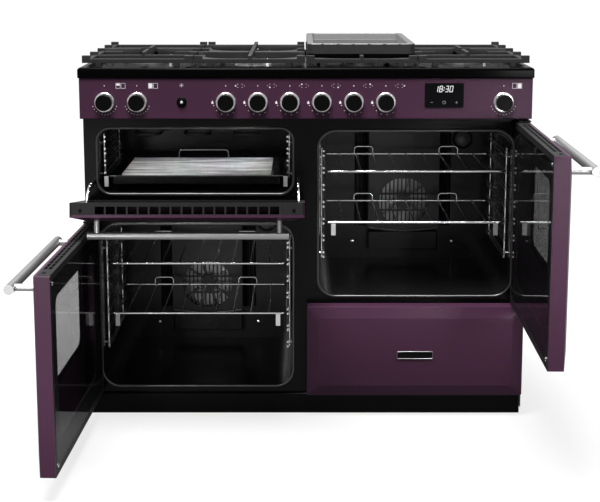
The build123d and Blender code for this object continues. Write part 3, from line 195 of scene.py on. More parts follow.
def coated(name, deep, pale, gloss, peel, mirror):
    """Sprayed and fired enamel: slow changes of tone, and a fine orange-peel skin."""
    made = Finish(name, Specular_IOR_Level=mirror)
    cloud = made.noise(9.0, detail=3.0)
    grain = made.noise(650.0)
    return made.drive(
        Base_Color=made.between(cloud * 0.7 + grain * 0.3, deep, pale),
        Roughness=gloss + 0.06 * made.noise(40.0, detail=4.0),
        Normal=made.bump(made.noise(420.0, detail=1.0), strength=peel, distance=0.0006),
    )


def fired_enamel(name, ground, fleck, share):
    """Vitreous enamel: a dark ground with pale flecks a fraction of a millimetre across."""
    made = Finish(name, Specular_IOR_Level=0.25)
    flecks = made.cells(420.0) < share
    cloud = made.noise(14.0, detail=3.0)
    shade = made.between(cloud, scaled(ground, 0.75), scaled(ground, 1.3))
    return made.drive(
        Base_Color=made.between(flecks * 0.7, shade, fleck),
        Roughness=0.16 + 0.14 * made.noise(60.0, detail=3.0),
        Normal=made.bump(made.noise(240.0), strength=0.09, distance=0.0008),
    )


def cast(name, dark, pale, rough):
    """A casting: coarse sand-cast skin with a finer grain on it, paler on the high grains."""
    made = Finish(name, Specular_IOR_Level=0.25)
    coarse = made.noise(260.0, detail=3.0, roughness=0.6)
    fine = made.noise(1400.0)
    skin = made.bump(coarse, strength=0.22, distance=0.0012)
    return made.drive(
        Base_Color=made.between(coarse * 0.6 + fine * 0.3, dark, pale),
        Roughness=rough + 0.16 * fine,
        Normal=made.bump(fine, strength=0.18, distance=0.0005, below=skin),
    )


def brushed(name, stretch, dark, pale, rough):
    """Brushed metal: fine scratches drawn out along one direction."""
    made = Finish(name, Metallic=1.0)
    scratch = made.noise(stretch, detail=4.0, roughness=0.65)
    cloud = made.noise(18.0)
    return made.drive(
        Base_Color=made.between(scratch * 0.8 + cloud * 0.2, dark, pale),
        Roughness=rough + 0.16 * scratch,
        Normal=made.bump(scratch, strength=0.12, distance=0.0003),
    )


def painted_reflection_streaks(name, dark, pale, rough):
    """Rolled bright sheet: long uneven streaks across it, from dull to bright, painted into its colour as
    reflections, with the same streaks in its bump.
    """
    made = Finish(name, Metallic=0.5)
    reflection_streak = made.noise((5.0, 85.0, 85.0), detail=3.0, roughness=0.6)
    sharp = made.node("ShaderNodeMapRange", None, {"Value": reflection_streak, "From Min": 0.36, "From Max": 0.62})
    fine = made.noise((20.0, 900.0, 900.0))
    return made.drive(
        # the streaks in the colour are painted reflections
        Base_Color=made.between(sharp, dark, pale),
        Roughness=rough + 0.12 * fine,
        Normal=made.bump(reflection_streak, strength=0.2, distance=0.002),
    )


def plated(name, colour, rough):
    """Bright plating, with faint clouding and hairline marks."""
    made = Finish(name, Metallic=1.0)
    cloud = made.noise(70.0, detail=3.0)
    hair = made.noise((900.0, 60.0, 900.0))
    return made.drive(
        Base_Color=made.between(cloud, scaled(colour, 0.86), colour),
        Roughness=rough + 0.1 * hair,
        Normal=made.bump(hair, strength=0.05, distance=0.0002),
    )


def spangled(name, dark, pale):
    """Galvanised sheet: flat crystals of slightly different greys."""
    made = Finish(name, Metallic=1.0)
    crystal = made.cells(70.0, output="Color")
    tone = made.node("ShaderNodeSeparateColor", None, {"Color": crystal}, "Red")
    return made.drive(
        Base_Color=made.between(tone, dark, pale),
        Roughness=0.38 + 0.14 * made.noise(160.0),
        Normal=made.bump(tone, strength=0.04, distance=0.0004),
    )


def moulded(name, colour, rough, grain):
    """Moulded plastic: an even colour with a light spark-eroded grain."""
    made = Finish(name, Specular_IOR_Level=0.05)
    skin = made.noise(1600.0)
    return made.drive(
        Base_Color=made.between(skin * 0.5, colour, scaled(colour, 1.6)),
        Roughness=rough + 0.1 * made.noise(90.0, detail=3.0),
        Normal=made.bump(skin, strength=grain, distance=0.0003),
    )


def tinted_glass(name, colour, cover):
    """Dark toughened glass that lets some of what is behind it through."""
    made = Finish(name, IOR=1.5, Specular_IOR_Level=0.45)
    cloud = made.noise(6.0)
    return made.drive(
        Base_Color=made.between(cloud, colour, scaled(colour, 1.4)),
        Roughness=0.02 + 0.03 * made.noise(30.0),
        Alpha=cover + 0.06 * cloud,
    )


def printed(name, colour, glow):
    """Screen-printed ink or a lit segment, slightly uneven."""
    made = Finish(name, Emission_Strength=glow)
    grain = made.noise(1800.0)
    tone = made.between(grain * 0.4, colour, scaled(colour, 0.8))
    return made.drive(Base_Color=tone, Emission_Color=tone, Roughness=0.4 + 0.1 * grain)


FINISHES = {
    "plum": coated("plum_enamel", PLUM_DEEP, PLUM, gloss=0.28, peel=0.05, mirror=0.10),
    "black": coated("black_enamel", BLACK, SOOT, gloss=0.14, peel=0.03, mirror=0.07),
    "trim": coated("trim_enamel", BLACK, BLACK, gloss=0.10, peel=0.02, mirror=0.02),
    "frame": coated("frame_enamel", BLACK, SOOT, gloss=0.20, peel=0.03, mirror=0.11),
    "satin": coated("satin_black", BLACK, SOOT, gloss=0.38, peel=0.06, mirror=0.10),
    "slate": moulded("slate_liner", SLATE, rough=0.42, grain=0.1),
    "enamel": fired_enamel("cavity_enamel", ENAMEL, FLECK, share=0.14),
    "cover": fired_enamel("fan_cover_enamel", COVER, FLECK, share=0.12),
    "rim": brushed("rolled_rim", (30.0, 200.0, 30.0), grey(0.05), grey(0.09), rough=0.24),
    "iron": cast("cast_iron", IRON, IRON_PALE, rough=0.5),
    "griddle": cast("griddle_casting", (0.010, 0.010, 0.0105), (0.028, 0.028, 0.029), rough=0.45),
    "griddle_bed": cast("griddle_bed", (0.018, 0.018, 0.0185), (0.040, 0.040, 0.041), rough=0.5),
    # painted reflection: the griddle's inner walls are a paler grey than the rest of the casting
    "griddle_wall": cast("griddle_wall", grey(0.10), grey(0.17), rough=0.4),
    # painted highlight: the level tops of the griddle's rim are a bright metal
    "griddle_rim": brushed("griddle_rim", (260.0, 260.0, 40.0), grey(0.16), grey(0.28), rough=0.34),
    "bar_y": brushed("handle_steel_side", (1400.0, 12.0, 1400.0), STEEL, STEEL_PALE, rough=0.38),
    "bar_x": brushed("handle_steel_grill", (12.0, 1400.0, 1400.0), STEEL, STEEL_PALE, rough=0.36),
    "chrome": plated("rack_chrome", CHROME, rough=0.1),
    "ring": brushed("knob_ring_metal", (600.0, 40.0, 600.0), RING, RING_PALE, rough=0.2),
    # painted reflections: the grill insert's colour runs in streaks from mid grey to near white
    "insert": painted_reflection_streaks("insert_sheet", grey(0.34), grey(0.97), rough=0.30),
    "link": brushed("stay_steel", (300.0, 300.0, 300.0), grey(0.10), grey(0.30), rough=0.3),
    "tab": brushed("tab_steel", (60.0, 60.0, 400.0), grey(0.44), grey(0.56), rough=0.42),
    "alloy": brushed("burner_alloy", (300.0, 300.0, 60.0), ALLOY, STEEL_PALE, rough=0.34),
    "glass": tinted_glass("door_glass", GLASS, cover=0.30),
    # painted shade: the right door has the same glass as the left, made to let less through so that it looks
    # darker
    "deep_glass": tinted_glass("right_door_glass", GLASS, cover=0.50),
    "lens": tinted_glass("lamp_lens", (0.16, 0.16, 0.165), cover=0.7),
    "knob": moulded("knob_black", grey(0.0014), rough=0.3, grain=0.06),
    "screen": moulded("display_glass", (0.0025, 0.0025, 0.003), rough=0.06, grain=0.0),
    "rubber": moulded("seal_silicone", grey(0.012), rough=0.5, grain=0.2),
    "zinc": spangled("zinc_sheet", ZINC, ZINC_PALE),
    "brass": brushed("tap_brass", (300.0, 60.0, 300.0), BRASS_DARK, BRASS, rough=0.3),
    "sheath": brushed("element_sheath", (200.0, 30.0, 200.0), SHEATH, scaled(SHEATH, 2.0), rough=0.45),
    "ink": printed("white_ink", INK, glow=0.0),
    "lit": printed("lit_segments", (0.92, 0.93, 0.95), glow=0.5),
    "dim": printed("touch_marks", (0.26, 0.26, 0.27), glow=0.0),
}

NODE_FINISH = {
    "plum": ["control_panel", "drawer_front"] + [f"{door}_panel" for door in DOOR_JOINTS],
    "black": ["plinth", "hob_plate", "burner_caps"],
    "trim": ["hob_trim"],
    "frame": ["front_frame"],
    "satin": ["side_panels", "hinge_brackets"],
    "slate": [f"{door}_liner" for door in DOOR_JOINTS],
    "enamel": ["left_oven_cavity", "right_oven_cavity", "grill_cavity", "grill_pan"],
    "cover": ["fan_covers"],
    "iron": SUPPORTS,
    "griddle": ["griddle"],
    "bar_y": ["left_door_handle", "right_door_handle"],
    "bar_x": ["grill_door_handle"],
    "chrome": RACKS + ["shelf_ladders"],
    "insert": ["grill_trivet"],
    "alloy": ["burner_bodies"],
    "link": ["left_fan", "right_fan"],
    "glass": ["left_door_glass"],
    # painted shade: the right door's glass darker than the left door's
    "deep_glass": ["right_door_glass"],
    "knob": BURNER_KNOBS + OVEN_KNOBS + ["light_button"],
    "screen": ["display_module"],
    "rubber": ["cavity_seals"],
    "zinc": ["back_panel", "base_tray", "centre_divider", "drawer_box", "drawer_runners", "levelling_feet",
             "fan_motors"],
    "brass": ["control_gear"],
    "sheath": ["grill_element"],
}


def dress_nodes():
    """Gives each CAD node its finish."""
    for finish, names in NODE_FINISH.items():
        for name in names:
            slots = NODES[name].data.materials
            slots.clear()
            slots.append(FINISHES[finish].material)


def middle_of(node):
    """The middle of a node's box, as x, y and z."""
    low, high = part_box(node)
    return (np.array(low) + np.array(high)) / 2


def face_rows(node, kind):
    """The center or the outward normal of each face of a node, as rows of x, y and z."""
    faces = NODES[node].data.polygons
    rows = np.zeros(3 * len(faces), np.float32)
    faces.foreach_get(kind, rows)
    return rows.reshape(-1, 3)


def refinish(node, finish, chosen):
    """Gives the chosen faces of a node another finish."""
    mesh = NODES[node].data
    marks = np.zeros(len(mesh.polygons), np.int32)
    mesh.polygons.foreach_get("material_index", marks)
    mesh.materials.append(FINISHES[finish].material)
    marks[chosen] = len(mesh.materials) - 1
    mesh.polygons.foreach_set("material_index", marks)


def swing(points, joint_name, share=1.0):
    """Turns points drawn on a shut door about the door's pin, by share of its way open."""
    joint = JOINTS[joint_name]
    angle = -radians(joint["range_deg"][0]) * share
    axis = np.array(joint["axis"], float)
    spokes = points - np.array(joint["pos_m"])
    along = (spokes @ axis)[..., None] * axis
    turned = along + (spokes - along) * np.cos(angle) + np.cross(axis, spokes) * np.sin(angle)
    return turned + np.array(joint["pos_m"])


# Points nearer than this, in metres, become one, in new pieces and in copies of nodes
MERGE = 1e-7
COPY_MERGE = 1e-6
# Edges whose faces meet at more than this, in degrees, stay sharp
CREASE = 40.0
PLATE_CREASE = 25.0
ROUND_CREASE = 50.0
ROLLED_CREASE = 60.0
# A rounded copy loses edges flatter than the first and has edges sharper than the second rounded
FLAT_WITHIN = 1.0
ROUNDED_FROM = 35.0


def linked(name, data):
    """An object in the scene."""
    made = bpy.data.objects.new(name, data)
    bpy.context.scene.collection.objects.link(made)
    return made


def soften(mesh, crease):
    """Shades smooth, apart from edges sharper than an angle."""
    mesh.shade_smooth()
    mesh.set_sharp_from_angle(angle=radians(crease))


def piece(name, points, faces, finish, body, crease=CREASE):
    """Makes one closed mesh piece from arrays, faces outwards, and lets it ride on a body."""
    mesh = bpy.data.meshes.new(name)
    mesh.from_pydata(points.reshape(-1, 3).tolist(), [], faces.tolist())
    mesh.validate()
    mesh.materials.append(FINISHES[finish].material)
    work = bmesh.new()
    work.from_mesh(mesh)
    bmesh.ops.remove_doubles(work, verts=work.verts, dist=MERGE)
    bmesh.ops.recalc_face_normals(work, faces=work.faces)
    work.to_mesh(mesh)
    work.free()
    soften(mesh, crease)
    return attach(linked(name, mesh), body)


def full_turn(steps):
    """Angles once round."""
    return np.linspace(0, 2 * np.pi, steps, endpoint=False)


def grid_faces(rows, columns, close_rows, close_columns):
    """Four-cornered faces over a grid of points, joined up along either direction where asked."""
    row = np.arange(rows if close_rows else rows - 1)
    column = np.arange(columns if close_columns else columns - 1)
    a, b = np.meshgrid(row, column, indexing="ij")
    next_a, next_b = (a + 1) % rows, (b + 1) % columns
    corners = (a * columns + b, a * columns + next_b, next_a * columns + next_b, next_a * columns + b)
    return np.stack(corners, -1).reshape(-1, 4)


def repeated(faces, copies, points_each):
    """The faces of several copies of one shape whose points follow one another."""
    return (faces[None] + points_each * np.arange(copies)[:, None, None]).reshape(-1, faces.shape[1])


def rounded_loop(x0, x1, z0, z1, radius, steps):
    """Points round a rounded rectangle and their outward normals: four quarter circles, one per corner."""
    turn = np.linspace(0, np.pi / 2, steps) + np.arange(4)[:, None] * np.pi / 2
    normals = np.stack([np.cos(turn), np.sin(turn)], -1)
    right, high = x1 - radius, z1 - radius
    left, low = x0 + radius, z0 + radius
    middles = np.array([[right, high], [left, high], [left, low], [right, low]])
    return (middles[:, None] + radius * normals).reshape(-1, 2), normals.reshape(-1, 2)


def banded(loop, rings):
    """Rings round an upright loop, from the share of the way from its middle, a step outwards and a depth."""
    flat, normals = loop
    middle = flat.mean(0)
    share, outward, depth = np.array(rings).T
    spread = middle + (flat - middle)[:, None] * share[:, None] + normals[:, None] * outward[:, None]
    return np.stack([spread[..., 0], np.broadcast_to(depth, spread.shape[:2]), spread[..., 1]], -1)


def frame_piece(name, loop, section, finish, body):
    """A closed band round an upright loop: each point steps outwards and back by the section's pair."""
    points = banded(loop, [(1.0, *pair) for pair in section])
    return piece(name, points, grid_faces(*points.shape[:2], True, True), finish, body)


def plate_piece(name, loop, front, back, finish, body, bevel):
    """A flat plate: rings grow from its middle to a bevelled edge and run back to its rear face."""
    edge = [(1.0, -bevel, front), (1.0, 0.0, front + bevel), (1.0, 0.0, back)]
    points = banded(loop, [(0.0, 0.0, front), *edge, (0.0, 0.0, back)])
    return piece(name, points, grid_faces(*points.shape[:2], True, False), finish, body, PLATE_CREASE)


def turned_piece(name, profile, centres, axis, finish, body, steps, joint=None):
    """A profile of radius and height in millimetres turned about an axis at each centre, as one piece."""
    side = np.cross(axis, UP if axis != UP else SIDEWAYS)
    angle = full_turn(steps)[:, None, None]
    spokes = side * np.cos(angle) + np.cross(axis, side) * np.sin(angle)
    radius, height = np.array(profile).T[..., None] / 1000
    points = np.array(centres)[:, None, None] + radius * spokes + height * axis
    if joint:
        points = swing(points, joint)
    faces = repeated(grid_faces(steps, len(profile), True, False), len(centres), steps * len(profile))
    return piece(name, points, faces, finish, body)


def tube_piece(name, path, radius, finish, body, sides=10):
    """A round bar along an open path: a circle square to it at each point, and a point at both ends."""
    angle = full_turn(sides)[:, None]
    path = np.concatenate([path[:1], path, path[-1:]])
    width = np.full(len(path), radius)
    width[[0, -1]] = 0.0
    heading = np.gradient(path[1:-1], axis=0)
    heading = np.concatenate([heading[:1], heading, heading[-1:]])
    heading /= np.linalg.norm(heading, axis=1, keepdims=True)
    level = np.abs(heading[:, 2:3]) < 0.8
    spare = np.where(level, [UP], [SIDEWAYS])
    side = np.cross(heading, spare)
    side /= np.linalg.norm(side, axis=1, keepdims=True)
    other = np.cross(heading, side)
    ring = side[:, None] * np.cos(angle) + other[:, None] * np.sin(angle)
    points = path[:, None] + ring * width[:, None, None]
    return piece(name, points, grid_faces(len(path), sides, False, True), finish, body, ROUND_CREASE)


def rounded_copy(node, body, width, crease=ROUND_CREASE):
    """A copy of a node with its doubled points merged and its sharp edges rounded, in the node's place."""
    mesh = NODES[node].data.copy()
    mesh.name = f"{node}_rounded"
    work = bmesh.new()
    work.from_mesh(mesh)
    bmesh.ops.remove_doubles(work, verts=work.verts, dist=COPY_MERGE)
    bmesh.ops.dissolve_limit(
        work, angle_limit=radians(FLAT_WITHIN), verts=work.verts, edges=work.edges, delimit={"MATERIAL"})
    work.to_mesh(mesh)
    work.free()
    soften(mesh, crease)
    made = linked(f"{node}_rounded", mesh)
    bevel = made.modifiers.new("rounded_edges", "BEVEL")
    bevel.width = width
    bevel.segments = 2
    bevel.limit_method = "ANGLE"
    bevel.angle_limit = radians(ROUNDED_FROM)
    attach(made, body)
    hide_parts(node)


def block_piece(name, boxes, finish, body):
    """Oblong blocks from rows of x0, x1, y0, y1, z0 and z1: eight corners and six faces each."""
    edges = np.array(boxes).reshape(-1, 3, 2)
    pick = np.indices((2, 2, 2)).reshape(3, -1)
    points = np.stack([edges[:, axis, pick[axis]] for axis in range(3)], -1)
    sides = [[0, 1, 3, 2], [4, 6, 7, 5], [0, 4, 5, 1], [2, 3, 7, 6], [0, 2, 6, 4], [1, 5, 7, 3]]
    return piece(name, points, repeated(np.array(sides), len(edges), pick.shape[1]), finish, body)


# Rounding of cast, folded and pressed edges
CAST_ROUND = 0.0016
FOLD_ROUND = 0.0012
PRESSED_CREASE = 9.0

PROUD = 0.0002


def griddle_faces():
    """A rim whose level tops are a bright metal as a painted highlight, inner walls paler as a painted
    reflection, a dark grey bed, and darker notches in the griddle's front rim.
    """
    low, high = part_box("griddle")
    half = np.array([high.x - low.x, high.y - low.y]) / 2
    centres, normals = face_rows("griddle", "center"), face_rows("griddle", "normal")
    height = centres[:, 2]
    rim, wall, facing = 0.002, 0.004, 0.002
    spokes = centres[:, :2] - middle_of("griddle")[:2]
    inside = (np.abs(spokes) < half - rim).all(1)
    inward = (normals[:, :2] * spokes).sum(1) < -facing
    level = normals[:, 2] > 0.9
    upright = np.abs(normals[:, 2]) < 0.5
    refinish("griddle", "griddle_bed", level & inside & (height < high.z - wall))
    # painted reflection: the inward-facing walls are paler
    refinish("griddle", "griddle_wall", inward & upright & (height > low.z + wall))
    # painted highlight: the level faces at the top of the rim are brighter
    refinish("griddle", "griddle_rim", level & (height > high.z - rim))
    wide, deep, tall, count = 0.0028, 0.0042, 0.0050, 6
    front, top = low.y - PROUD, high.z - PROUD / 2
    places = np.linspace(low.x, high.x, count + 2)[1:-1]
    notches = [(x - wide, x + wide, front, front + deep, top - tall, top) for x in places]
    block_piece("griddle_notches", notches, "iron", "griddle")


def rounded_pieces():
    """Castings, folded trims and pressed fronts with soft edges that catch the light."""
    griddle_faces()
    for name in SUPPORTS:
        rounded_copy(name, name, CAST_ROUND)
    rounded_copy("griddle", "griddle", CAST_ROUND)
    rounded_copy("hob_trim", "carcass", 2 * FOLD_ROUND)
    rounded_copy("plinth", "carcass", FOLD_ROUND)
    rounded_copy("drawer_front", "drawer", FOLD_ROUND / 2, PRESSED_CREASE)
    for door in DOOR_JOINTS:
        rounded_copy(f"{door}_panel", door, FOLD_ROUND / 2, PRESSED_CREASE)


KNOB_SKIRT = 0.0076


def knobs():
    """A bright skirt on each knob and a dark notch in it at twelve o'clock."""
    front = FACE_Y - KNOB_SKIRT
    half, foot, head, deep = 0.0011, 0.0042, 0.0008, 0.003
    for name in BURNER_KNOBS + OVEN_KNOBS:
        refinish(name, "ring", face_rows(name, "center")[:, 1] > front - PROUD)
        x, top = middle_of(name)[0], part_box(name)[1].z
        loop = rounded_loop(x - half, x + half, top - foot, top - head, radius=0.0008, steps=4)
        made = plate_piece(f"{name}_notch", loop, front - PROUD, front + deep, "knob", name, bevel=0.0001)


def dots(centres, radius, steps=12):
    """Flat round marks in an upright plane: the points of all of them, and one many-sided face for each."""
    angle = full_turn(steps)
    ring = np.stack([np.cos(angle), np.sin(angle)], -1) * radius
    flat = (np.array(centres)[:, None] + ring).reshape(-1, 2)
    return flat, np.arange(len(flat)).reshape(-1, steps)


def bars(boxes):
    """Flat oblong marks from rows of x0, x1, z0 and z1: points and faces of all of them."""
    x0, x1, z0, z1 = np.array(boxes).T
    corners = ((x0, z0), (x1, z0), (x1, z1), (x0, z1))
    flat = np.stack([np.stack(corner, -1) for corner in corners], 1)
    return flat.reshape(-1, 2), np.arange(4 * len(x0)).reshape(-1, 4)


INK_LAYER = 0.0001


def marks_piece(name, shapes, y, finish, body):
    """Flat marks on an upright face, joined into one thin printed layer."""
    mesh = bpy.data.meshes.new(name)
    points, faces, count = [], [], 0
    for flat, corners in shapes:
        points.append(np.stack([flat[:, 0], np.full(len(flat), y), flat[:, 1]], -1))
        faces += (corners + count).tolist()
        count += len(flat)
    mesh.from_pydata(np.concatenate(points).tolist(), [], faces)
    mesh.materials.append(FINISHES[finish].material)
    made = linked(name, mesh)
    layer = made.modifiers.new("ink_thickness", "SOLIDIFY")
    layer.thickness = INK_LAYER
    layer.offset = 0.0
    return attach(made, body)


def dial_dots(x, z, radius, start, end, count):
    """Centres of dial dots on an arc, in degrees from twelve o'clock."""
    angle = np.radians(np.linspace(start, end, count))
    return np.stack([x + radius * np.sin(angle), z + radius * np.cos(angle)], -1)


def flame(x, z, height, width=0.26, steps=20):
    """A flame mark: a drop whose width is the sine of the turn times one plus its cosine."""
    turn = full_turn(steps)
    drop = np.stack([np.sin(turn) * (1 + np.cos(turn)) * width, -np.cos(turn) / 2], -1)
    flat = np.array([x, z]) + drop * height
    return flat, np.arange(len(flat)).reshape(1, -1)


def outline(x0, x1, z0, z1, line):
    """Four bars round an empty oblong."""
    level = [(x0, x1, z0, z0 + line), (x0, x1, z1 - line, z1)]
    return level + [(x0, x0 + line, z0, z1), (x1 - line, x1, z0, z1)]


KNOB_Z = middle_of("burner_knob_1")[2]
ICON_Z = KNOB_Z + 0.0395
DIAL_RADIUS = 0.0305
# Dots round a dial: first, last and how many; then the radius of these and of the one above
BURNER_DIAL = (145, 255, 5), 0.0011, 0.0013
OVEN_DIAL = (110, 250, 11), 0.0010, 0.0012
# Six dots that show the hob, beside each burner's knob, with that burner's dot larger
LAYOUT_X = 0.034 + 0.0052 * np.array([-2.0, -1.0, -1.0, 1.0, 1.0, 2.0])
LAYOUT_Z = 0.0038 * np.array([0.0, -1.0, 1.0, -1.0, 1.0, 0.0])
# Two boxes that show the ovens, by each oven's knob: their place, the filled one, and the fill's foot
OVEN_ICONS = {
    "grill_knob": (0.0275, 0, 0.0006),
    "left_oven_knob": (0.0275, 0, -0.0053),
    "right_oven_knob": (0.0205, 1, -0.0053),
}
ICON_PITCH = 0.0122
ICON_HALF = 0.0065


def dial(x, arc, radius, top_radius):
    """The dots round one dial and the one above it."""
    return [dots(dial_dots(x, KNOB_Z, DIAL_RADIUS, *arc), radius), dots([(x, ICON_Z)], top_radius)]


def fascia_print():
    """Dial dots, flames and layout marks printed on the fascia."""
    shapes = []
    flame_side, flame_height, dot, large_dot = 0.0325, 0.0085, 0.0008, 0.0018
    for index, name in enumerate(BURNER_KNOBS):
        x = middle_of(name)[0]
        shapes += dial(x, *BURNER_DIAL)
        shapes.append(flame(x - flame_side, KNOB_Z, flame_height))
        layout = np.stack([x + LAYOUT_X, ICON_Z + LAYOUT_Z], -1)
        shapes.append(dots(np.delete(layout, index, 0), dot))
        shapes.append(dots(layout[index:index + 1], large_dot))
    wide, line, inset, fill, high = 0.0108, 0.0007, 0.0014, 0.008, 0.0053
    for name, (side, filled, foot) in OVEN_ICONS.items():
        x = middle_of(name)[0]
        shapes += dial(x, *OVEN_DIAL)
        starts = [x + side, x + side + ICON_PITCH]
        for x0 in starts:
            shapes.append(bars(outline(x0, x0 + wide, ICON_Z - ICON_HALF, ICON_Z + ICON_HALF, line)))
        x0 = starts[filled] + inset
        shapes.append(bars([(x0, x0 + fill, ICON_Z + foot, ICON_Z + high)]))
    rise, reach, ray_dot = 0.001, 0.0042, 0.0006
    x, z = middle_of("light_button")[0], ICON_Z + rise
    shapes.append(dots(dial_dots(x, z, reach, start=0, end=315, count=8), ray_dot))
    shapes.append(dots([(x, z)], large_dot))
    marks_piece("fascia_print", shapes, FACE_Y - INK_LAYER, "ink", "carcass")


# Segments that are lit for each digit: top, upper right, lower right, foot, lower left, upper left, middle
SEGMENTS = {0: (0, 1, 2, 3, 4, 5), 1: (1, 2), 3: (0, 1, 2, 3, 6), 8: (0, 1, 2, 3, 4, 5, 6)}
DIGIT_WIDTH = 0.0074
DIGIT_PITCH = DIGIT_WIDTH + 0.0032
# The room that the colon takes, and its dots' places from the end of the second digit
COLON_ROOM = 0.0038
COLON_DOTS = [(0.0012, 0.0045), (0.0022, 0.0105)]


def digit(value, x, z):
    """One seven-segment digit, moved to the right in step with the height so that it leans."""
    wide, tall, line, gap, slant = DIGIT_WIDTH, 0.0150, 0.0010, 0.0006, 0.16
    across = (gap, wide - gap)
    left, right = (0, line), (wide - line, wide)
    lower, upper = (gap, (tall - gap) / 2), ((tall + gap) / 2, tall - gap)
    places = [
        (*across, tall - line, tall),
        (*right, *upper),
        (*right, *lower),
        (*across, 0, line),
        (*left, *lower),
        (*left, *upper),
        (*across, (tall - line) / 2, (tall + line) / 2),
    ]
    flat, corners = bars([places[i] for i in SEGMENTS[value]])
    flat[:, 0] += flat[:, 1] * slant
    return flat + np.array([x, z]), corners


def display():
    """Clock digits and the three touch marks under them."""
    low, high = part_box("display_module")
    middle = middle_of("display_module")[0]
    left, drop, colon_dot = 0.0235, 0.0215, 0.0010
    x, y, z = middle - left, low.y - INK_LAYER, high.z - drop
    steps = np.arange(4) * DIGIT_PITCH + np.array([0, 0, COLON_ROOM, COLON_ROOM])
    shapes = [digit(value, x + step, z) for value, step in zip((1, 8, 3, 0), steps)]
    colon = np.array(COLON_DOTS) + (x + 2 * DIGIT_PITCH, z)
    shapes.append(dots(colon, colon_dot))
    marks_piece("display_digits", shapes, y, "lit", "carcass")
    rise, side, half, line, ring = 0.0125, 0.0300, 0.0030, 0.0005, 0.0040
    z = low.z + rise
    minus, plus = middle - side, middle + side
    strokes = [(x - half, x + half, z - line, z + line) for x in (minus, plus)]
    upright = (plus - line, plus + line, z - half, z + half)
    made = marks_piece("display_touch_marks", [bars(strokes), bars([upright])], y, "dim", "carcass")
    loop = rounded_loop(middle - ring, middle + ring, z - ring, z + ring, ring, steps=8)
    section = [(-2 * line, y), (0.0, y), (0.0, low.y), (-2 * line, low.y)]
    frame_piece("display_touch_ring", loop, section, "dim", "carcass")


# Turned profiles, as radius and height in millimetres
BEZEL = [(9.0, 0), (12.2, 0), (12.2, 1.2), (11.2, 2.6), (10.0, 3.0), (9.0, 2.4), (9.0, 0)]
STUD = [(0, 0), (3.4, 0), (3.4, 1.0), (2.2, 1.8), (0, 2.0)]
CLIP = [(0, -1.0), (4.6, -1.0), (4.6, 1.2), (3.6, 2.1), (0, 2.3)]
SCREW = [(0, -2.0), (4.2, -2.0), (4.2, 0.4), (3.6, 1.3), (2.0, 1.7), (1.3, 0.6), (0, 0.4)]
SPARK_PIN = [(0, -18), (3.6, -18), (3.6, 4.0), (1.6, 5.5), (1.4, 9.5), (0, 10.0)]
LENS = [(0, 12), (12, 10), (20, 4), (22.5, -0.5), (0, -0.5)]
LENS_RING = [(22.5, -0.5), (22.5, 5), (24.5, 7), (27.5, 5), (28, -0.5), (22.5, -0.5)]
GROMMET = [(9.8, -12), (12.4, -12), (12.4, -1.0), (11.7, -0.3), (10.7, -0.7), (9.8, -2.0), (9.8, -12)]


def light_switch():
    """A dark bezel round the light button and a bright stud in its middle."""
    x, _, z = middle_of("light_button")
    made = turned_piece("light_button_bezel", BEZEL, [(x, FACE_Y, z)], FORWARD, "knob", "carcass", 40)
    face = (x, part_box("light_button")[0].y, z)
    made = turned_piece("light_button_stud", STUD, [face], FORWARD, "ring", "light_button", 24)


# Rolled mouths of the three cavities, with the radius of their corners
MOUTHS = {"left_oven": 0.042, "right_oven": 0.042, "grill": 0.030}
CAVITY_SHEET = 0.0015
ROLL_OUT = 0.0070
ROLL_RISE = 0.0042


def mouth_section(steps=14, fullness=0.7):
    """A rolled edge: an arch whose depth is a power of the sine, from the cavity's inside to the carcass."""
    turn = np.linspace(0, np.pi, steps)
    return np.stack([ROLL_OUT / 2 * (1 - np.cos(turn)), -ROLL_RISE * np.sin(turn) ** fullness], -1)


def mouths():
    """Rolled enamel edges round the cavities, in place of the plain seals."""
    for name, corner in MOUTHS.items():
        low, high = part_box(f"{name}_cavity")
        sides = (low.x + CAVITY_SHEET, high.x - CAVITY_SHEET, low.z + CAVITY_SHEET, high.z - CAVITY_SHEET)
        loop = rounded_loop(*sides, corner, steps=16)
        made = frame_piece(f"{name}_mouth_seal", loop, mouth_section(), "rim", "carcass")
        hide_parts("cavity_seals")


# Doors as they lie when shut: left, right, low and high edges
SHUT_DOORS = {
    "left_door": (-0.541, -0.003, 0.057, 0.4965),
    "right_door": (0.003, 0.541, 0.291, 0.746),
    "grill_door": (-0.541, -0.003, 0.517, 0.746),
}
INNER_FACE = -0.005
VENT_MIDDLE = -0.0225
SCREW_INSET = 0.025
CLIP_INSET = 0.021


def door_screws():
    """Two screws on the end plates of each door's vent, and clips that hold each oven door's inner glass."""
    for door, joint in DOOR_JOINTS.items():
        x0, x1, z0, z1 = SHUT_DOORS[door]
        spots = [(x, VENT_MIDDLE, z1) for x in (x0 + SCREW_INSET, x1 - SCREW_INSET)]
        made = turned_piece(f"{door}_vent_screws", SCREW, spots, UP, "satin", door, 20, joint)
        if door == "grill_door":
            continue
        free = x1 - CLIP_INSET if door == "left_door" else x0 + CLIP_INSET
        spots = [(free, INNER_FACE, z) for z in (z0 + CLIP_INSET, z1 - CLIP_INSET)]
        made = turned_piece(f"{door}_glass_clips", CLIP, spots, BACKWARD, "chrome", door, 20, joint)


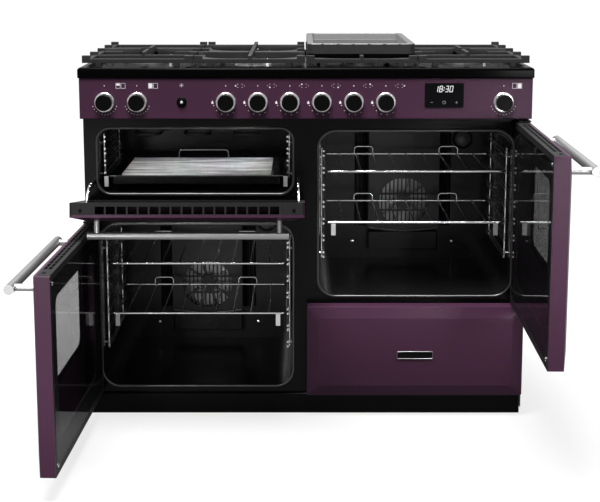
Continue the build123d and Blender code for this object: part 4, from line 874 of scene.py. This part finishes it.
def stays():
    """Bright links for the grill door's stays, rivets on an arc about its pin, and the door's dark pane."""
    clear, shown, deep, border, rivets = 0.0004, -0.004, 0.0042, 0.0155, 3
    pin = np.array(JOINTS["grill_door_drop"]["pos_m"])
    rest = face_rows("grill_door_liner", "center").astype(float)
    shut = swing(rest, "grill_door_drop", -1.0)
    arms = shut[:, 1] > INNER_FACE + clear
    refinish("grill_door_liner", "link", arms)
    low, high = shut[~arms].min(0) + border, shut[~arms].max(0) - border
    within = ((shut > low) & (shut < high))[:, [0, 2]].all(1)
    refinish("grill_door_liner", "glass", within & ~arms & (shut[:, 1] > INNER_FACE - deep))
    for side, inward in (("left", 1.0), ("right", -1.0)):
        chosen = (rest[:, 0] - pin[0]) * inward < 0
        arm = rest[arms & chosen & (rest[:, 1] < shown)]
        spokes = arm[:, 1:] - pin[1:]
        reach = np.linalg.norm(spokes, axis=1).mean()
        turn = np.arctan2(spokes[:, 1], spokes[:, 0])
        angle = np.linspace(turn.min(), turn.max(), rivets + 2)[1:-1]
        around = pin[1:] + reach * np.stack([np.cos(angle), np.sin(angle)], -1)
        spots = np.column_stack([np.full(rivets, inward * (inward * arm[:, 0]).max()), around])
        heading = (inward, 0.0, 0.0)
        made = turned_piece(f"grill_stay_rivets_{side}", CLIP, spots, heading, "chrome", "grill_door", 16)


# The badge frame's section, as steps outwards and back from the drawer's face
BADGE_FRAME = [(0, 0), (0, -0.0024), (0.0003, -0.0027), (0.0007, -0.0027), (0.0010, -0.0024), (0.0010, 0)]


def badge():
    """A bare oblong plate on the drawer front, dark in a thin steel frame."""
    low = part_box("drawer_front")[0]
    rise, across, up, thick = 0.1075, 0.0435, 0.0085, 0.0015
    x, z = middle_of("drawer_front")[0], low.z + rise
    loop = rounded_loop(x - across, x + across, z - up, z + up, radius=0.0012, steps=5)
    made = plate_piece("badge_plate", loop, low.y - thick, low.y, "black", "drawer", bevel=0.0003)
    made = frame_piece("badge_frame", loop, np.array(BADGE_FRAME) + (0.0, low.y), "link", "drawer")


# Crowns on the burners
LARGE_CROWN = 0.060
SMALL_CROWN = 0.042
CROWN_TEETH = 36
CROWN_STEPS = CROWN_TEETH * 6
CROWN_CREASE = 30.0
TOOTH_DEPTH = 0.0035
# Rings of a crown's section: how far inside its size, whether the teeth cut it, and its height
CROWN_RINGS = [(0.012, 0, -0.0045), (0.003, 1, -0.0045), (0.0025, 1, 0.0012), (0.012, 0, 0.0012)]


def burner_places():
    """Each burner's middle and its crown's size: one under an outer support, two under an inner one."""
    places = []
    for name in SUPPORTS:
        low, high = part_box(name)
        x, y, _ = middle_of(name)
        if name in (SUPPORTS[0], SUPPORTS[-1]):
            places.append((x, y, LARGE_CROWN))
        else:
            places += [(x, low.y + (high.y - low.y) * share, SMALL_CROWN) for share in (0.25, 0.75)]
    return places


def crowns():
    """A ring of flame ports round each burner: a wall whose radius steps in and out with the angle."""
    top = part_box("burner_bodies")[1].z
    places = burner_places()
    angle = full_turn(CROWN_STEPS)[:, None]
    tooth = np.where(np.cos(angle * CROWN_TEETH) > 0.1, 0.0, TOOTH_DEPTH)
    inside, cut, height = np.array(CROWN_RINGS).T
    shapes = []
    for x, y, size in places:
        radius = size - inside - cut * tooth
        level = np.broadcast_to(top + height, radius.shape)
        shapes.append(np.stack([x + radius * np.cos(angle), y + radius * np.sin(angle), level], -1))
    rings = len(CROWN_RINGS)
    faces = repeated(grid_faces(CROWN_STEPS, rings, True, True), len(shapes), CROWN_STEPS * rings)
    piece("burner_crowns", np.stack(shapes), faces, "alloy", "carcass", CROWN_CREASE)
    right, front, rise = 0.97, 0.35, 0.001
    pins = [(x + size * right, y - size * front, top + rise) for x, y, size in places]
    turned_piece("spark_pins", SPARK_PIN, pins, UP, "ink", "carcass", 12)


def channel(name, x, wall, z0, z1):
    """A ribbed channel on a back wall: a section whose depth is a sine squared, carried straight up."""
    half, sheet, ribs, deep, steps = 0.018, 0.0015, 3, 0.0022, 12
    across = np.linspace(-1, 1, ribs * steps + 1)
    ripple = np.sin(np.pi / 2 * ribs * (across + 1)) ** 2
    front = np.stack([x + half * across, wall - sheet - deep * ripple], -1)
    section = np.concatenate([front, [(x + half, wall), (x - half, wall)]])
    middle = section.mean(0)
    share, level = np.array([(0.0, z0), (1.0, z0), (1.0, z1), (0.0, z1)]).T[..., None, None]
    flat = middle + share * (section - middle)
    points = np.concatenate([flat, np.broadcast_to(level, (*flat.shape[:2], 1))], -1)
    made = piece(name, points, grid_faces(*flat.shape[:2], False, True), "satin", "carcass")


# Fittings on an oven's back wall, as steps from the wall's middle and the oven's floor
LENS_PLACE = (0.165, 0.337)
SCREW_PLACES = [(-0.140, 0.046), (0.140, 0.046)]
COVER_HALF = 0.097
COVER_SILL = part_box("fan_covers")[0].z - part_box("left_oven_cavity")[0].z - CAVITY_SHEET
CHANNEL_PLACE = COVER_HALF + 0.019


def oven_backs():
    """Lens, screws and channels on each oven's back wall, and under the fan cover a sagging lip and a box."""
    for oven in OVENS:
        low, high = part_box(f"{oven}_cavity")
        wall = high.y - CAVITY_SHEET
        x = middle_of(f"{oven}_cavity")[0]
        base = low.z + CAVITY_SHEET
        spot = (x + LENS_PLACE[0], wall, base + LENS_PLACE[1])
        turned_piece(f"{oven}_lamp_lens", LENS, [spot], FORWARD, "lens", "carcass", 36)
        made = turned_piece(f"{oven}_lamp_ring", LENS_RING, [spot], FORWARD, "cover", "carcass", 36)
        screws = [(x + across, wall, base + up) for across, up in SCREW_PLACES]
        made = turned_piece(f"{oven}_wall_screws", SCREW, screws, FORWARD, "chrome", "carcass", 16)
        foot, head = base + 0.092, base + 0.392
        for side, across in (("left", -1), ("right", 1)):
            channel(f"{oven}_{side}_channel", x + across * CHANNEL_PLACE, wall, foot, head)
        inset, rise, sag, radius = 0.002, 0.006, 0.008, 0.0034
        run = np.linspace(-1, 1, 25)
        front = np.full(len(run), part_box("fan_covers")[0].y)
        hang = base + COVER_SILL + rise - sag * (1 - run ** 2)
        lip = np.stack([x + run * (COVER_HALF - inset), front, hang], -1)
        tube_piece(f"{oven}_cover_lip", lip, radius, "rim", "carcass")
        foot, gap, deep = 0.028, 0.008, 0.026
        sides = (x - COVER_HALF, x + COVER_HALF, base + foot, base + COVER_SILL - gap)
        loop = rounded_loop(*sides, radius=0.006, steps=6)
        made = plate_piece(f"{oven}_lower_box", loop, wall - deep, wall, "enamel", "carcass", bevel=0.003)


def grill_insert():
    """The grill pan's bright insert, a sheet whose height is a cosine along its depth, and its handle."""
    low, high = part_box("grill_trivet")
    rows, ribs, side, end = 197, 13.5, 0.0005, 0.001
    drop, ripple, sheet = 0.0046, 0.0018, 0.0008
    y = np.linspace(low.y + end, high.y - end, rows)
    pitch = (high.y - low.y) / ribs
    z = high.z - drop + ripple * np.cos(2 * np.pi * (y - low.y - pitch / 4) / pitch)
    edges = (low.x + side, high.x - side)
    upper = np.stack([np.stack([np.full(rows, x), y, z], -1) for x in edges], 1)
    points = np.concatenate([upper, upper[:, ::-1] - (0.0, 0.0, sheet)], 1)
    ends = np.array([[0, 1, 2, 3], np.arange(-4, 0) + 4 * rows])
    faces = np.concatenate([grid_faces(rows, 4, False, True), ends])
    piece("grill_insert", points, faces, "insert", "grill_pan", ROLLED_CREASE)
    half, foot, head, bend, radius = 0.066, 0.004, 0.021, 0.008, 0.0021
    x = middle_of("grill_trivet")[0]
    steps = 7
    loop = rounded_loop(x - half, x + half, high.z - foot, high.z + head, bend, steps)[0]
    flat = np.array([(x - half, high.z - foot), *loop[:2 * steps][::-1], (x + half, high.z - foot)])
    path = np.insert(flat, 1, high.y - foot, axis=1)
    tube_piece("grill_insert_handle", path, radius, "chrome", "grill_pan")


def grill_pan_front():
    """A rolled lip along the front of the grill pan, and tabs at its front corners."""
    low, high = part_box("grill_pan")
    end, behind, radius = 0.012, 0.0012, 0.0011
    y = low.y + behind
    lip = np.linspace((low.x + end, y, high.z), (high.x - end, y, high.z), 9)
    tube_piece("grill_pan_lip", lip, radius, "rim", "grill_pan")
    half, inset, foot, head = 0.005, 0.0055, 0.0265, 0.0004
    front, back = low.y - 0.0015, low.y + 0.0003
    for side, x in (("left", low.x + inset), ("right", high.x - inset)):
        sides = (x - half, x + half, high.z - foot, high.z - head)
        loop = rounded_loop(*sides, radius=0.001, steps=4)
        made = plate_piece(f"grill_pan_{side}_tab", loop, front, back, "tab", "grill_pan", bevel=0.0004)


def louvres(face):
    """Louvres on the back: domes that rise by the sine of an angle, on ovals that shrink by its cosine."""
    steps, rises = 24, 7
    size, root = (0.046, 0.0055, 0.0075), (0.0, -0.001, 0.0)
    around = full_turn(steps)[:, None]
    rise = np.linspace(0, np.pi / 2, rises)
    up = np.broadcast_to(np.sin(rise), (steps, rises))
    dome = np.stack([np.cos(around) * np.cos(rise), up, np.sin(around) * np.cos(rise)], -1) * size
    dome = np.concatenate([dome, np.broadcast_to(root, (steps, 1, 3))], 1)[:, ::-1]
    reach, first, pitch = 0.36, 0.33, 0.026
    columns, rows = np.linspace(-reach, reach, 4), first + pitch * np.arange(6)
    spots = np.array([(x, face, z) for z in rows for x in columns])
    faces = repeated(grid_faces(steps, rises + 1, True, False), len(spots), steps * (rises + 1))
    made = piece("back_louvres", spots[:, None, None] + dome, faces, "zinc", "carcass", ROLLED_CREASE)


# Screws in from the back panel's edges, the cable hole's x and z, and the gas inlet's end
BACK_INSET = 0.014
CABLE_HOLE = (-0.300, 0.120)
INLET = (0.200, 0.5555, 0.797)


def back_fittings():
    """Louvres, screws and a cable grommet on the back, and a thread on the inlet, ridged as a sine."""
    low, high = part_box("back_panel")
    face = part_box("side_panels")[1].y
    louvres(face)
    across = np.linspace(low.x + BACK_INSET, high.x - BACK_INSET, 6)
    screws = [(x, face, z) for z in (low.z + BACK_INSET, high.z - BACK_INSET) for x in across]
    turned_piece("back_screws", SCREW, screws, BACKWARD, "chrome", "carcass", 16)
    hole = (CABLE_HOLE[0], high.y, CABLE_HOLE[1])
    turned_piece("cable_grommet", GROMMET, [hole], BACKWARD, "rubber", "carcass", 36)
    bore, root, ridge, length, turns = 8.5, 10.4, 0.6, 20.5, 8
    run = np.linspace(0, 1, 33)
    ridges = list(zip(root + ridge * np.abs(np.sin(np.pi * turns * run)), length * run))
    thread = [(bore, 0.0), *ridges, (bore, length), (bore, 0.0)]
    turned_piece("inlet_thread", thread, [INLET], BACKWARD, "brass", "carcass", 36)


# How bright the floor and surroundings are as light, in mirrors, and to the eye near the feet
FLOOR_GREY = 0.11
AMBIENT = 0.10
GLOSS_SHARE = 0.45
SHADOW_LIFT = 0.77
# Where the shadow starts to fade and is gone, from the middle, and half the floor's size
SHADOW_REACH = (0.6, 1.1)
FLOOR_REACH = 40.0


def seen_directly(finish):
    """1 for rays from the camera or through glass, less for mirrored rays, 0 for light on things."""
    kinds = ("Camera", "Glossy", "Transmission")
    rays = [finish.node("ShaderNodeLightPath", output=f"Is {kind} Ray") for kind in kinds]
    camera_ray, glossy, through = rays
    direct = camera_ray.maths("MAXIMUM", camera_ray, through)
    return direct.maths("MAXIMUM", direct, glossy * GLOSS_SHARE)


def stage():
    """A floor that looks white and keeps the shadow: its glow is full far off and less by the feet."""
    mesh = bpy.data.meshes.new("floor")
    corners = [(x * FLOOR_REACH, y * FLOOR_REACH, 0) for x, y in ((-1, -1), (1, -1), (1, 1), (-1, 1))]
    mesh.from_pydata(corners, [], [(0, 1, 2, 3)])
    floor = linked("floor", mesh)
    paint = Finish("floor_white", Roughness=0.9, Specular_IOR_Level=0.0, Emission_Strength=1.0)
    away = paint.node("ShaderNodeVectorMath", {"operation": "LENGTH"}, {0: paint.place()}, "Value")
    near, far = SHADOW_REACH
    reach = {"Value": away, "From Min": near, "From Max": far, "To Min": SHADOW_LIFT}
    lift = paint.node("ShaderNodeMapRange", None, reach)
    glow = paint.between(seen_directly(paint) * lift, grey(0.0), grey(1.0))
    paint.drive(Base_Color=grey(FLOOR_GREY), Emission_Color=glow)
    mesh.materials.append(paint.material)


class World(Finish):
    """The surroundings' nodes, made in the same way as a material's."""

    def __init__(self, world):
        world.use_nodes = True
        self.tree = world.node_tree
        self.shader = self.tree.nodes["Background"]


def surroundings():
    """White to the eye, greyer in reflections, and a plain soft grey as light."""
    world = bpy.data.worlds.new("studio")
    bpy.context.scene.world = world
    made = World(world)
    made.drive(Color=made.between(seen_directly(made), grey(AMBIENT), grey(1.0)))


def lamp(name, place, aim, size, power, spread=180.0):
    """An oblong soft lamp that faces a point, narrowed to a beam where a spread is given in degrees."""
    data = bpy.data.lights.new(name, "AREA")
    data.shape = "RECTANGLE"
    data.size, data.size_y = size
    data.energy = power
    data.spread = radians(spread)
    made = linked(name, data)
    made.location = place
    made.rotation_mode = "QUATERNION"
    made.rotation_quaternion = (Vector(aim) - Vector(place)).to_track_quat("-Z", "Y")


def camera():
    """A camera in front of the cooker, looking slightly down."""
    data = bpy.data.cameras.new("camera")
    data.lens = 76.3
    data.shift_y = -0.15
    made = linked("camera", data)
    made.location = (-0.014, -3.093, 1.150)
    made.rotation_euler = (radians(80.74), 0.0, 0.0)
    bpy.context.scene.camera = made


bpy.context.scene.view_settings.view_transform = "Standard"
dress_nodes()
rounded_pieces()
knobs()
fascia_print()
display()
light_switch()
mouths()
badge()
crowns()
oven_backs()
grill_insert()
grill_pan_front()
door_screws()
stays()
back_fittings()
stage()
surroundings()
lamp("key", (-0.45, -1.7, 5.7), (0.0, -0.1, 0.4), (2.4, 1.4), power=820.0)
lamp("fill", (1.8, -2.6, 2.6), (0.0, 0.0, 0.4), (1.6, 1.6), power=8.0)
lamp("top", (0.0, 0.8, 3.4), (0.0, 0.2, 0.8), (2.6, 1.4), power=110.0)
lamp("front", (0.0, -3.7, 1.12), (0.0, 0.0, 0.4), (3.2, 0.15), power=5.0)
lamp("grill", (-0.27, -2.4, 1.54), (-0.27, 0.10, 0.635), (0.40, 0.02), power=0.055, spread=4.0)
lamp("left_edge", (-0.85, -1.7, 0.40), (-0.555, -0.60, 0.27), (0.2, 0.5), power=0.52, spread=26.0)
lamp("right_edge", (0.85, -1.7, 0.62), (0.555, -0.60, 0.51), (0.2, 0.5), power=0.52, spread=26.0)
camera()
